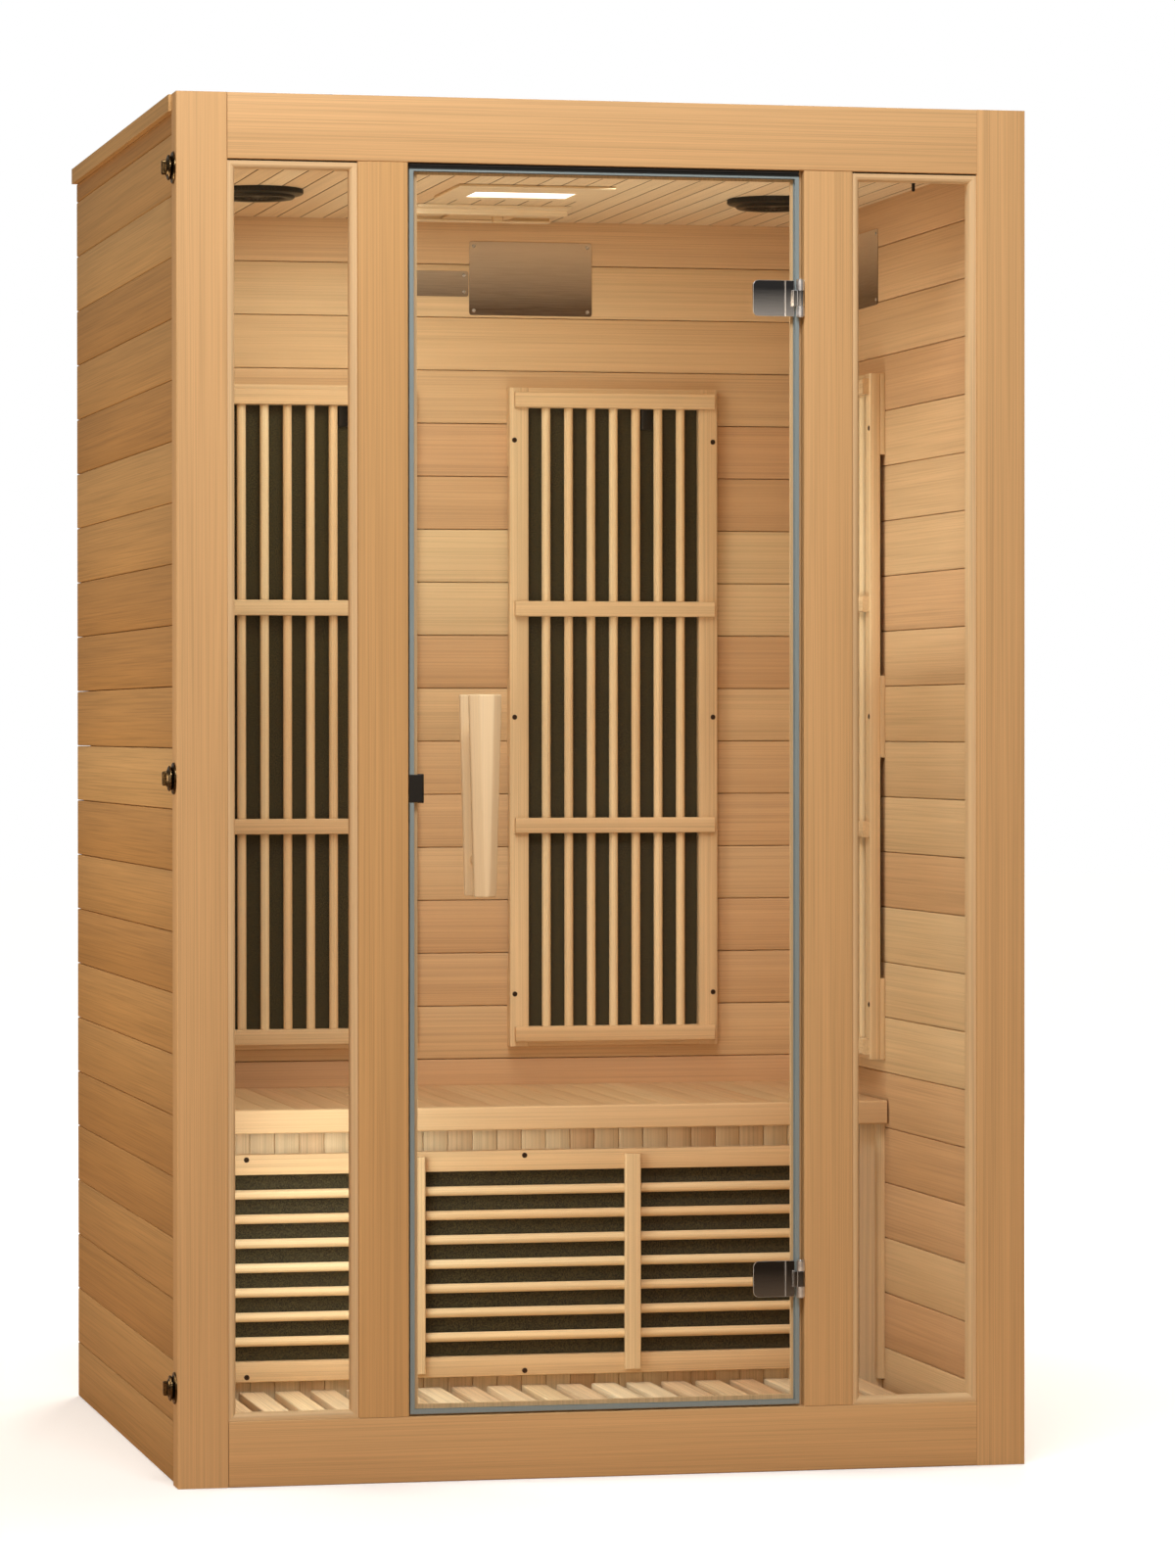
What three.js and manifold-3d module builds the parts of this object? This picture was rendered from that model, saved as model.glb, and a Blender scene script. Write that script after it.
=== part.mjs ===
// Two-seat infrared sauna cabin, free standing. Millimetres, +Z up, origin on the floor under the
// middle of the cabin, front (door side) towards -Y, +X to the right as seen from the front.
import * as THREE from 'three';
import { ConvexGeometry } from 'three/addons/geometries/ConvexGeometry.js';
import { mergeVertices } from 'three/addons/utils/BufferGeometryUtils.js';
import Module from 'manifold-3d';

// Clearance between pieces that meet
const fit = 0.3;

// Shell panels
const cabinWidth = 1200;
const cabinDepth = 1100;
const cabinHeight = 1900;
const frontThickness = 45;
const sideThickness = 40;
const sideInset = 4;
const backThickness = 45;
const roofCapThickness = 23;
const roofCapOverhang = 4;
const roofPanelThickness = 49;
const ceilingBoardThickness = 14;
const roofRimWidth = 40;
const floorBaseThickness = 30;

// Tongue-and-groove boards: joint spacing and the V-groove at each joint
const outerBoardPitch = 84;
const innerBoardPitch = 82.8;
const innerBoardDrop = 68.6;
const ceilingBoardPitch = 36.3;
const riserBoardPitch = 37.1;
const seatBoardPitch = 42.5;
const grooveWidth = 2.4;
const grooveDepth = 2;

// Slatted floor
const slatPitch = 53;
const slatWidth = 37;
const slatThickness = 20;
const slatWallGap = 24.7;
const slatEndGap = 6;
const battenHeight = 10;
const battenWidth = 30;
const battenInset = 40;
const battenLap = 1;

// Front frame
const stileWidth = 70;
const mullionWidth = 70;
const windowWidth = 180;
const railHeight = 90;

// Window glazing: a bead ring with a groove for the pane
const beadRecess = 3;
const beadWidth = 10.5;
const beadFlat = 4;
const beadFrontDepth = 14;
const beadBackDepth = 8;
const beadBackWidth = 8;
const beadWeb = 3;
const paneThickness = 6;
const beadArcSteps = 4;

// Glass door in its opening
const doorGapCatch = 2.5;
const doorGapHinge = 6;
const doorGapTop = 5.5;
const doorGapBottom = 3;
const doorRecess = 6;
const doorThickness = 8;
const sealLip = 6;
const sealSkin = 1.2;
const stopGap = 1.5;
const stopWidth = 15;
const stopDepth = 5;

// Hinges
const hingeInset = 268;
const hingeHeight = 50;
const hingeAxisInset = 6.5;
const hingeAxisProud = 3;
const knuckleRadius = 5.5;
const middleKnuckle = 22;
const pinRadius = 3;
const pinCap = 1.2;
const pinCapRadius = 4.6;
const leafThickness = 2.5;
const clampWidth = 59;
const clampThickness = 4.5;
const clampCornerRadius = 8;
const clampAxisGap = 7.3;
const clampStripWidth = 12.5;
const clampGroove = 1.6;
const innerClampWidth = 34;
const innerClampInset = 8;
const innerClampHeight = 44;
const innerClampThickness = 4;
const clampBoltRadius = 5;
const clampBoltSpacing = 26;
const clampBoltInset = 22;
const clampWebLap = 3;

// Pull handles, one on each side of the glass
const handleInset = 98;
const handleCentreHeight = 942;
const handleLength = 278;
const handleTopWidth = 46;
const handleBottomWidth = 31;
const handleDepth = 22;
const handleChamfer = 13;
const handleStandoff = 24;
const handleStandoffRadius = 9;
const handleBoltSpacing = 178;
const handleBoltRadius = 4;
const handleBoltGrip = 12;

// Magnetic catch
const catchHeight = 952;
const strikeWidth = 19;
const strikeHeight = 38;
const strikeSkin = 2.2;
const strikeEdgeGap = 1.5;
const strikeCornerRadius = 4;
const magnetWidth = 9;
const magnetHeight = 40;
const magnetDepth = 14;

// Bench
const seatHeight = 476;
const seatThickness = 20;
const benchDepth = 500;
const apronHeight = 35;
const apronThickness = 20;
const benchEndGap = 3;
const riserSetback = 35;
const riserThickness = 18;
const ledgerHeight = 40;
const ledgerWidth = 30;

// Infrared heaters: frame box, rails across its front, dowels behind the rails, element at the back
const heaterLength = 1030;
const heaterWidth = 334;
const heaterDepth = 23;
const heaterFrameWidth = 30;
const heaterRailWidth = 24;
const heaterRailProud = 10;
const heaterRailInset = 7;
const heaterRailShare = 0.329;
const dowelRadius = 7;
const dowelGap = 22;
const dowelProud = 1;
const dowelTenon = 5;
const dowelSides = 12;
const ventSlotLength = 332;
const ventSlotDepth = 7;
const ventSlotSpacing = 455;
const elementThickness = 4;
const elementInset = 4;
const terminalWidth = 17;
const terminalDepth = 6;
const terminalHeight = 32;

// Places of the heaters
const backHeaterSpacing = 482;
const heaterAboveSeat = 61;
const sideHeaterFromBack = 145;
const benchHeaterEndGap = 61;
const benchHeaterAboveFloor = 16;
const benchHeaterBelowApron = 31;

// Speakers in the ceiling
const speakerOffset = 391;
const speakerFromFront = 615;
const speakerRadius = 68;
const speakerThickness = 14;
const speakerDishRadius = 54;
const speakerRimThickness = 7;
const speakerSegments = 28;

// Ceiling light
const lightBoardWidth = 234;
const lightBoardDepth = 198;
const lightBoardThickness = 4;
const lightFromFront = 564;
const lightPanelWidth = 152;
const lightPanelDepth = 83;
const lightPanelThickness = 3;
const lightPanelShift = 24;

// Ceiling vent with its sliding cover
const ventWidth = 237;
const ventDepth = 200;
const ventFromFront = 882;
const ventPlateThickness = 4;
const ventHoleWidth = 80;
const ventHoleDepth = 90;
const ventRailWidth = 14;
const ventRailLip = 5;
const ventRailLipThickness = 3;
const sliderWidth = 104;
const sliderDepth = 116;
const sliderThickness = 4;
const sliderClearance = 0.5;
const knobWidth = 15;
const knobHeight = 9;
const knobShift = 24;

// Panel latches on the left side of the front
const latchLowHeight = 135;
const latchTopDrop = 102;
const latchFromFront = 25;
const latchStemRadius = 6;
const latchStemLength = 5;
const latchDiscRadius = 17.5;
const latchDiscThickness = 4;
const latchDomeRadius = 9;
const latchDomeHeight = 2;
const latchWingLength = 20;
const latchWingWidth = 7;
const latchWingHeight = 7.5;
const latchSegments = 20;

// Control panel on the inside of the left wall
const panelFromFront = 300;
const panelHeightAboveFloor = 1300;
const panelWidth = 140;
const panelHeight = 92;
const panelThickness = 18;
const displayWidth = 104;
const displayHeight = 36;
const displayRecess = 1.5;
const displayRise = 16;
const buttonRadius = 8;
const buttonLength = 10;
const buttonProud = 3;
const buttonPlay = 0.4;
const buttonRise = -26;
const buttonSpacing = 52;
const buttonPocketDepth = 11;
const buttonSegments = 20;

// Power unit in the roof, with its inlet reaching through the roof cap
const unitWidth = 260;
const unitDepth = 180;
const unitHeight = 30;
const unitFromSide = 225.7;
const unitFromBack = 190;
const inletWidth = 50;
const inletDepth = 32;
const inletWall = 5;
const inletRecess = 14;

// Planes and places that follow from the sizes above
const front = -cabinDepth / 2;
const back = cabinDepth / 2;
const frontInside = front + frontThickness;
const backInside = back - backThickness;
const wallOuter = cabinWidth / 2 - sideInset;
const wallInner = wallOuter - sideThickness;
const innerHalf = wallInner - fit;
const capUnder = cabinHeight - roofCapThickness;
const ceiling = capUnder - roofPanelThickness;
const floorTop = floorBaseThickness + battenHeight + slatThickness;
const openingHeight = cabinHeight - 2 * railHeight;
const openingTop = cabinHeight - railHeight;
const doorHalf = cabinWidth / 2 - stileWidth - windowWidth - mullionWidth;
const windowCentre = cabinWidth / 2 - stileWidth - windowWidth / 2;
const doorFront = front + doorRecess;
const doorBack = doorFront + doorThickness;
const sealFront = doorFront - fit - sealSkin;
const sealBack = doorBack + fit + sealSkin;
const stopFront = sealBack + stopGap;
const sealX = [-doorHalf + doorGapCatch, doorHalf - doorGapHinge];
const sealZ = [railHeight + doorGapBottom, openingTop - doorGapTop];
const doorX = [sealX[0] + sealSkin + fit, sealX[1] - sealSkin - fit];
const doorZ = [sealZ[0] + sealSkin + fit, sealZ[1] - sealSkin - fit];
const hingeAxis = [doorHalf - hingeAxisInset, front - hingeAxisProud];
const hingeHeights = { upper: cabinHeight - hingeInset, lower: hingeInset };
const clampX = [hingeAxis[0] - clampAxisGap - clampWidth, hingeAxis[0] - clampAxisGap];
const clampBoltX = clampX[0] + clampBoltInset;
const handleX = doorX[0] + handleInset;
const handleBoltHeights = [-1, 1].map((end) => handleCentreHeight + (end * handleBoltSpacing) / 2);
const seatBottom = seatHeight - seatThickness;
const benchFront = backInside - benchDepth;
const riserFront = benchFront + riserSetback;
const seatHalf = wallInner - benchEndGap;
const apronBottom = seatHeight - apronHeight;
const heaterCentreHeight = seatHeight + heaterAboveSeat + heaterLength / 2;
const benchHeaterLength = 2 * (wallInner - benchHeaterEndGap);
const benchHeaterBottom = floorTop + benchHeaterAboveFloor;
const benchHeaterWidth = apronBottom - benchHeaterBelowApron - benchHeaterBottom;
const ventCentre = front + ventFromFront;
const unitCentre = [innerHalf - unitFromSide, backInside - unitFromBack];

const wasm = await Module();
wasm.setup();

const paint = (color, roughness, metalness = 0) =>
  new THREE.MeshStandardMaterial({ color, roughness, metalness });
const frameWood = paint(0xd9ab78, 0.55);
const wallWood = paint(0xb98d58, 0.6);
const innerWood = paint(0xcba06c, 0.6);
const trimWood = paint(0xe0bd8d, 0.55);
const clearGlass = new THREE.MeshStandardMaterial({
  color: 0xe4ecea,
  roughness: 0.05,
  transparent: true,
  opacity: 0.25,
});
const sealPlastic = paint(0x8fa6b0, 0.35);
const steel = paint(0xb8bcc0, 0.28, 1);
const bronze = paint(0x4a3b28, 0.35, 1);
const carbon = paint(0x2f2618, 0.8);
const blackPlastic = paint(0x14120f, 0.45);
const lampDiffuser = paint(0xfffdf6, 0.5);
const greyPlastic = paint(0x3a3c40, 0.5);

const cabin = new THREE.Group();

function add(name, geometry, material, parent = cabin) {
  const mesh = new THREE.Mesh(geometry, material);
  mesh.name = name;
  parent.add(mesh);
}

const spread = (centre, size) => [centre - size / 2, centre + size / 2];

function box(x, y, z) {
  const geometry = new THREE.BoxGeometry(x[1] - x[0], y[1] - y[0], z[1] - z[0]);
  return geometry.translate((x[0] + x[1]) / 2, (y[0] + y[1]) / 2, (z[0] + z[1]) / 2);
}

// A round bar along one axis; centre gives its two other coordinates in x, y, z order.
function rod(axis, radius, centre, range, sides) {
  const geometry = new THREE.CylinderGeometry(radius, radius, range[1] - range[0], sides);
  const middle = (range[0] + range[1]) / 2;
  if (axis === 'x') {
    return geometry.rotateZ(Math.PI / 2).translate(middle, centre[0], centre[1]);
  }
  if (axis === 'y') {
    return geometry.translate(centre[0], middle, centre[1]);
  }
  return geometry.rotateX(Math.PI / 2).translate(centre[0], centre[1], middle);
}

// An outline extruded along one axis; its points hold the two other coordinates in x, y, z order.
function prism(axis, outline, range) {
  const shape = outline instanceof THREE.Shape
    ? outline
    : new THREE.Shape(outline.map(([u, v]) => new THREE.Vector2(u, v)));
  const depth = range[1] - range[0];
  const geometry = new THREE.ExtrudeGeometry(shape, { depth, bevelEnabled: false });
  if (axis === 'x') {
    const turn = new THREE.Matrix4().makeBasis(
      new THREE.Vector3(0, 1, 0),
      new THREE.Vector3(0, 0, 1),
      new THREE.Vector3(1, 0, 0),
    );
    return geometry.applyMatrix4(turn).translate(range[0], 0, 0);
  }
  if (axis === 'y') {
    return geometry.rotateX(Math.PI / 2).translate(0, range[1], 0);
  }
  return geometry.translate(0, 0, range[0]);
}

// A rectangular ring with mitred corners round the XZ rectangle x, z. The profile is a closed list of
// points: how far in from the rectangle's edge, and the place along Y.
function mitredRing(x, z, profile) {
  const corners = [[0, 0], [1, 0], [1, 1], [0, 1]];
  const positions = corners.flatMap(([i, j]) =>
    profile.flatMap(([inset, y]) => [
      i ? x[1] - inset : x[0] + inset,
      y,
      j ? z[1] - inset : z[0] + inset,
    ]));
  const index = [];
  corners.forEach((_, corner) => {
    const here = corner * profile.length;
    const next = ((corner + 1) % corners.length) * profile.length;
    profile.forEach((__, point) => {
      const after = (point + 1) % profile.length;
      index.push(here + point, next + point, next + after);
      index.push(here + point, next + after, here + after);
    });
  });
  const geometry = new THREE.BufferGeometry();
  geometry.setAttribute('position', new THREE.Float32BufferAttribute(positions, 3));
  geometry.setIndex(index);
  geometry.computeVertexNormals();
  return geometry;
}

function toSolid(geometry) {
  const bare = geometry.clone();
  bare.deleteAttribute('normal');
  bare.deleteAttribute('uv');
  const merged = mergeVertices(bare);
  const corners = merged.index.array;
  const triangles = [];
  for (let i = 0; i < corners.length; i += 3) {
    const [a, b, c] = corners.slice(i, i + 3);
    if (a !== b && b !== c && c !== a) {
      triangles.push(a, b, c);
    }
  }
  const vertProperties = Float32Array.from(merged.attributes.position.array);
  const triVerts = Uint32Array.from(triangles);
  return new wasm.Manifold(new wasm.Mesh({ numProp: 3, vertProperties, triVerts }));
}

function toGeometry(solid) {
  const mesh = solid.getMesh();
  const geometry = new THREE.BufferGeometry();
  geometry.setAttribute('position', new THREE.BufferAttribute(mesh.vertProperties, 3));
  geometry.setIndex(new THREE.BufferAttribute(mesh.triVerts, 1));
  geometry.computeVertexNormals();
  return geometry;
}

const join = (...pieces) => toGeometry(pieces.map(toSolid).reduce((whole, piece) => whole.add(piece)));
const cut = (piece, ...tools) =>
  toGeometry(tools.map(toSolid).reduce((rest, tool) => rest.subtract(tool), toSolid(piece)));

// Board joints at a steady pitch from one known joint, kept a groove's width clear of both ends.
function jointsAlong(range, pitch, known) {
  const first = Math.ceil((range[0] + grooveWidth - known) / pitch);
  const last = Math.floor((range[1] - grooveWidth - known) / pitch);
  const joints = [];
  for (let i = first; i <= last; i += 1) {
    joints.push(known + i * pitch);
  }
  return joints;
}

// Outline of a boarded panel as [along, across] points, with a V-groove at each joint of each face.
function boardedOutline(range, faceA, faceB, jointsA, jointsB) {
  const inward = Math.sign(faceB - faceA);
  const notch = (joint, face, sink, way) => [
    [joint - (way * grooveWidth) / 2, face],
    [joint, face + sink * grooveDepth],
    [joint + (way * grooveWidth) / 2, face],
  ];
  return [
    [range[0], faceA],
    ...jointsA.flatMap((joint) => notch(joint, faceA, inward, 1)),
    [range[1], faceA],
    [range[1], faceB],
    ...jointsB.toReversed().flatMap((joint) => notch(joint, faceB, -inward, -1)),
    [range[0], faceB],
  ];
}

const swapped = (points) => points.map(([u, v]) => [v, u]);

function roundedRight(x, z, radius) {
  const shape = new THREE.Shape();
  shape.moveTo(x[0], z[0]);
  shape.lineTo(x[1] - radius, z[0]);
  shape.absarc(x[1] - radius, z[0] + radius, radius, -Math.PI / 2, 0);
  shape.lineTo(x[1], z[1] - radius);
  shape.absarc(x[1] - radius, z[1] - radius, radius, 0, Math.PI / 2);
  shape.lineTo(x[0], z[1]);
  shape.closePath();
  return shape;
}

function roundedLeft(x, z, radius) {
  const shape = new THREE.Shape();
  shape.moveTo(x[1], z[1]);
  shape.lineTo(x[0] + radius, z[1]);
  shape.absarc(x[0] + radius, z[1] - radius, radius, Math.PI / 2, Math.PI);
  shape.lineTo(x[0], z[0] + radius);
  shape.absarc(x[0] + radius, z[0] + radius, radius, Math.PI, (3 * Math.PI) / 2);
  shape.lineTo(x[1], z[0]);
  shape.closePath();
  return shape;
}

function addWalls() {
  const height = [0, capUnder - fit];
  const outerJoints = jointsAlong(height, outerBoardPitch, 0);
  const innerJoints = jointsAlong([floorTop, ceiling], innerBoardPitch, ceiling - innerBoardDrop);
  for (const [name, side] of [['left_wall', -1], ['right_wall', 1]]) {
    const outline = boardedOutline(height, side * wallOuter, side * wallInner, outerJoints, innerJoints);
    add(name, prism('y', swapped(outline), [frontInside + fit, back]), wallWood);
  }
  const outline = boardedOutline(height, back, backInside, outerJoints, innerJoints);
  add('back_wall', prism('x', swapped(outline), [-innerHalf, innerHalf]), wallWood);
}

function addRoof() {
  const across = [-innerHalf, innerHalf];
  const along = [frontInside + fit, backInside - fit];
  const joints = jointsAlong(across, ceilingBoardPitch, 0);
  const slab = prism('y', boardedOutline(across, ceiling, capUnder - fit, joints, []), along);
  const cavity = box(
    [across[0] + roofRimWidth, across[1] - roofRimWidth],
    [along[0] + roofRimWidth, along[1] - roofRimWidth],
    [ceiling + ceilingBoardThickness, cabinHeight],
  );
  const ventHole = box(
    spread(0, ventHoleWidth),
    spread(ventCentre, ventHoleDepth),
    [ceiling - ventPlateThickness, capUnder],
  );
  add('roof_panel', cut(slab, cavity, ventHole), innerWood);

  const capHalf = cabinWidth / 2 + roofCapOverhang;
  const cap = box([-capHalf, capHalf], [frontInside + fit, back], [capUnder, cabinHeight]);
  const inletHole = box(
    spread(unitCentre[0], inletWidth + 2 * fit),
    spread(unitCentre[1], inletDepth + 2 * fit),
    [capUnder - roofCapThickness, cabinHeight + roofCapThickness],
  );
  add('roof_cap', cut(cap, inletHole), wallWood);

  const unitBottom = ceiling + ceilingBoardThickness + fit;
  const unitBox = box(
    spread(unitCentre[0], unitWidth),
    spread(unitCentre[1], unitDepth),
    [unitBottom, unitBottom + unitHeight],
  );
  const turret = box(
    spread(unitCentre[0], inletWidth),
    spread(unitCentre[1], inletDepth),
    [unitBottom, cabinHeight - fit],
  );
  const socket = box(
    spread(unitCentre[0], inletWidth - 2 * inletWall),
    spread(unitCentre[1], inletDepth - 2 * inletWall),
    [cabinHeight - inletRecess, cabinHeight + inletRecess],
  );
  add('power_unit', cut(join(unitBox, turret), socket), greyPlastic);
}

function addFloor() {
  const base = box([-innerHalf, innerHalf], [frontInside + fit, backInside - fit], [0, floorBaseThickness]);
  add('floor_base', base, innerWood);

  const battenTop = floorBaseThickness + battenHeight;
  const along = [frontInside + slatEndGap, riserFront - slatEndGap];
  const first = -innerHalf + slatWallGap + slatWidth / 2;
  const slatCount = Math.floor((innerHalf - slatWallGap - slatWidth / 2 - first) / slatPitch) + 1;
  const last = first + (slatCount - 1) * slatPitch;
  const slats = Array.from({ length: slatCount }, (_, i) =>
    box(spread(first + i * slatPitch, slatWidth), along, [battenTop, floorTop]));
  const battenPlaces = [along[0] + battenInset, (along[0] + along[1]) / 2, along[1] - battenInset];
  const battens = battenPlaces.map((y) =>
    box(
      [first - slatWidth / 2 + battenLap, last + slatWidth / 2 - battenLap],
      spread(y, battenWidth),
      [floorBaseThickness + fit, battenTop + battenLap],
    ));
  add('floor_slats', join(...slats, ...battens), trimWood);
}

function addFrontFrame() {
  const thick = [front, frontInside];
  const stileEdge = cabinWidth / 2 - stileWidth;
  const railX = [-stileEdge + fit, stileEdge - fit];
  add('front_stile_left', box([-cabinWidth / 2, -stileEdge], thick, [0, cabinHeight]), frameWood);
  add('front_stile_right', box([stileEdge, cabinWidth / 2], thick, [0, cabinHeight]), frameWood);
  add('front_bottom_rail', box(railX, thick, [0, railHeight]), frameWood);
  add('front_top_rail', box(railX, thick, [openingTop, cabinHeight]), frameWood);
  const mullionZ = [railHeight + fit, openingTop - fit];
  const mullionEdge = doorHalf + mullionWidth;
  add('front_mullion_left', box([-mullionEdge, -doorHalf], thick, mullionZ), frameWood);
  add('front_mullion_right', box([doorHalf, mullionEdge], thick, mullionZ), frameWood);
}

function addWindows() {
  const paneFront = front + beadRecess + beadFrontDepth + fit;
  const paneBack = paneFront + paneThickness;
  const rounding = beadWidth - beadFlat;
  const roundTop = front + beadRecess + rounding;
  const arc = Array.from({ length: beadArcSteps + 1 }, (_, i) => {
    const angle = (i / beadArcSteps) * (Math.PI / 2);
    return [beadFlat + rounding * Math.sin(angle), roundTop - rounding * Math.cos(angle)];
  });
  const profile = [
    [0, front + beadRecess],
    ...arc,
    [beadWidth, paneFront - fit],
    [beadWeb, paneFront - fit],
    [beadWeb, paneBack + fit],
    [beadBackWidth, paneBack + fit],
    [beadBackWidth, paneBack + fit + beadBackDepth],
    [0, paneBack + fit + beadBackDepth],
  ];
  const z = [railHeight + fit, openingTop - fit];
  const paneInset = beadWeb + fit;
  for (const [side, centre] of [['left', -windowCentre], ['right', windowCentre]]) {
    const x = spread(centre, windowWidth - 2 * fit);
    add(`window_bead_${side}`, mitredRing(x, z, profile), trimWood);
    const pane = box(
      [x[0] + paneInset, x[1] - paneInset],
      [paneFront, paneBack],
      [z[0] + paneInset, z[1] - paneInset],
    );
    add(`window_glass_${side}`, pane, clearGlass);
  }
}

function addDoor() {
  const holeRadius = clampBoltRadius + fit * 2;
  const through = [doorFront - doorThickness, doorBack + doorThickness];
  const clampHoles = Object.values(hingeHeights).flatMap((z) =>
    spread(z, clampBoltSpacing).map((height) => rod('y', holeRadius, [clampBoltX, height], through, 16)));
  const handleHoles = handleBoltHeights.map((height) =>
    rod('y', handleBoltRadius + fit * 2, [handleX, height], through, 16));
  const sheet = box(doorX, [doorFront, doorBack], doorZ);
  add('door_glass', cut(sheet, ...clampHoles, ...handleHoles), clearGlass);

  const channel = mitredRing(sealX, sealZ, [
    [0, sealFront],
    [sealLip, sealFront],
    [sealLip, doorFront - fit],
    [sealSkin, doorFront - fit],
    [sealSkin, doorBack + fit],
    [sealLip, doorBack + fit],
    [sealLip, sealBack],
    [0, sealBack],
  ]);
  const strikeGap = box(
    [-doorHalf, doorX[0] + sealLip],
    [sealFront - sealSkin, sealBack + sealSkin],
    spread(catchHeight, strikeHeight + 2 * fit),
  );
  add('door_edge_seal', cut(channel, strikeGap), sealPlastic);

  const stop = mitredRing([-doorHalf + fit, doorHalf - fit], [railHeight + fit, openingTop - fit], [
    [0, stopFront],
    [stopWidth, stopFront],
    [stopWidth, stopFront + stopDepth],
    [0, stopFront + stopDepth],
  ]);
  add('door_stop', stop, trimWood);
}

function addCatch() {
  const strikeX = [-doorHalf + strikeEdgeGap, -doorHalf + strikeEdgeGap + strikeWidth];
  const strikeY = [doorFront - fit - strikeSkin, doorBack + fit + strikeSkin];
  const strikeZ = spread(catchHeight, strikeHeight);
  const body = prism('y', roundedRight(strikeX, strikeZ, strikeCornerRadius), strikeY);
  const slot = box([doorX[0] - fit, strikeX[1] + fit], [doorFront - fit, doorBack + fit], [0, cabinHeight]);
  add('door_strike_plate', cut(body, slot), blackPlastic);

  const noseLeft = -doorHalf + fit + stopWidth + fit;
  const noseRight = noseLeft + magnetWidth;
  const stopBack = stopFront + stopDepth;
  const magnetY = [stopBack + fit, stopBack + fit + magnetDepth];
  const magnetZ = spread(catchHeight, magnetHeight);
  const nose = box([noseLeft, noseRight], [stopFront, magnetY[1]], magnetZ);
  const magnet = box([-doorHalf + fit, noseRight], magnetY, magnetZ);
  add('magnet_catch', join(magnet, nose), blackPlastic);
}

function addHinge(place, centre) {
  const z = spread(centre, hingeHeight);
  const middle = spread(centre, middleKnuckle);
  const boreRadius = pinRadius + fit;
  const bore = rod('z', boreRadius, hingeAxis, [z[0] - pinCap, z[1] + pinCap], 16);

  const jambFace = doorHalf - fit;
  const leafPlate = box([jambFace - leafThickness, jambFace], [hingeAxis[1], stopFront - fit], z);
  const lowKnuckle = rod('z', knuckleRadius, hingeAxis, [z[0], middle[0] - fit], 20);
  const highKnuckle = rod('z', knuckleRadius, hingeAxis, [middle[1] + fit, z[1]], 20);
  const middleGap = rod('z', knuckleRadius + fit * 2, hingeAxis, [middle[0] - fit, middle[1] + fit], 20);
  add(`hinge_leaf_${place}`, cut(join(leafPlate, lowKnuckle, highKnuckle), middleGap, bore), steel);

  const plateY = [doorFront - fit - clampThickness, doorFront - fit];
  const plate = prism('y', roundedLeft(clampX, z, clampCornerRadius), plateY);
  const grooveX = clampX[1] - clampStripWidth;
  const groove = box(
    [grooveX - clampGroove, grooveX],
    [plateY[0] - clampGroove, plateY[0] + clampGroove],
    [z[0] - clampGroove, z[1] + clampGroove],
  );
  const knuckle = rod('z', knuckleRadius, hingeAxis, middle, 20);
  const web = box(
    [clampX[1] - clampWebLap, hingeAxis[0]],
    [hingeAxis[1] - pinRadius, plateY[0] + clampThickness / 2],
    middle,
  );
  const innerPlate = box(
    [clampX[0] + innerClampInset, clampX[0] + innerClampInset + innerClampWidth],
    [doorBack + fit, doorBack + fit + innerClampThickness],
    spread(centre, innerClampHeight),
  );
  const boltY = [plateY[0] + clampThickness / 2, doorBack + fit + innerClampThickness / 2];
  const bolts = spread(centre, clampBoltSpacing).map((height) =>
    rod('y', clampBoltRadius, [clampBoltX, height], boltY, 16));
  const clamp = join(plate, knuckle, web, innerPlate, ...bolts);
  add(`hinge_clamp_${place}`, cut(clamp, groove, bore), steel);

  const pin = rod('z', pinRadius, hingeAxis, [z[0] - pinCap, z[1] + pinCap], 16);
  const caps = [
    rod('z', pinCapRadius, hingeAxis, [z[0] - fit - pinCap, z[0] - fit], 16),
    rod('z', pinCapRadius, hingeAxis, [z[1] + fit, z[1] + fit + pinCap], 16),
  ];
  add(`hinge_pin_${place}`, join(pin, ...caps), steel);
}

// One grip: a bar that tapers downwards, with its two outer long edges cut to broad facets.
function handleGrip(inner, outward) {
  const shoulder = inner + outward * (handleDepth - handleChamfer);
  const outer = inner + outward * handleDepth;
  const ends = [
    [handleCentreHeight + handleLength / 2, handleTopWidth / 2],
    [handleCentreHeight - handleLength / 2, handleBottomWidth / 2],
  ];
  const points = ends.flatMap(([z, half]) =>
    [-1, 1].flatMap((side) => [
      new THREE.Vector3(handleX + side * half, inner, z),
      new THREE.Vector3(handleX + side * half, shoulder, z),
      new THREE.Vector3(handleX + side * (half - handleChamfer), outer, z),
    ]));
  return new ConvexGeometry(points);
}

function addHandles() {
  const lap = handleDepth / 2;
  const outerBack = doorFront - handleStandoff;
  const innerBack = doorBack + handleStandoff;
  const outerSpacers = handleBoltHeights.map((z) =>
    rod('y', handleStandoffRadius, [handleX, z], [outerBack - lap, doorFront - fit], 16));
  const innerSpacers = handleBoltHeights.map((z) =>
    rod('y', handleStandoffRadius, [handleX, z], [doorBack + fit, innerBack + lap], 16));
  const bolts = handleBoltHeights.map((z) =>
    rod('y', handleBoltRadius, [handleX, z], [outerBack, doorBack + handleBoltGrip], 16));
  const sockets = handleBoltHeights.map((z) =>
    rod('y', handleBoltRadius + fit, [handleX, z], [doorFront, doorBack + handleBoltGrip + fit], 16));
  add('door_handle_outer', join(handleGrip(outerBack, -1), ...outerSpacers, ...bolts), trimWood);
  add('door_handle_inner', cut(join(handleGrip(innerBack, 1), ...innerSpacers), ...sockets), trimWood);
}

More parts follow.
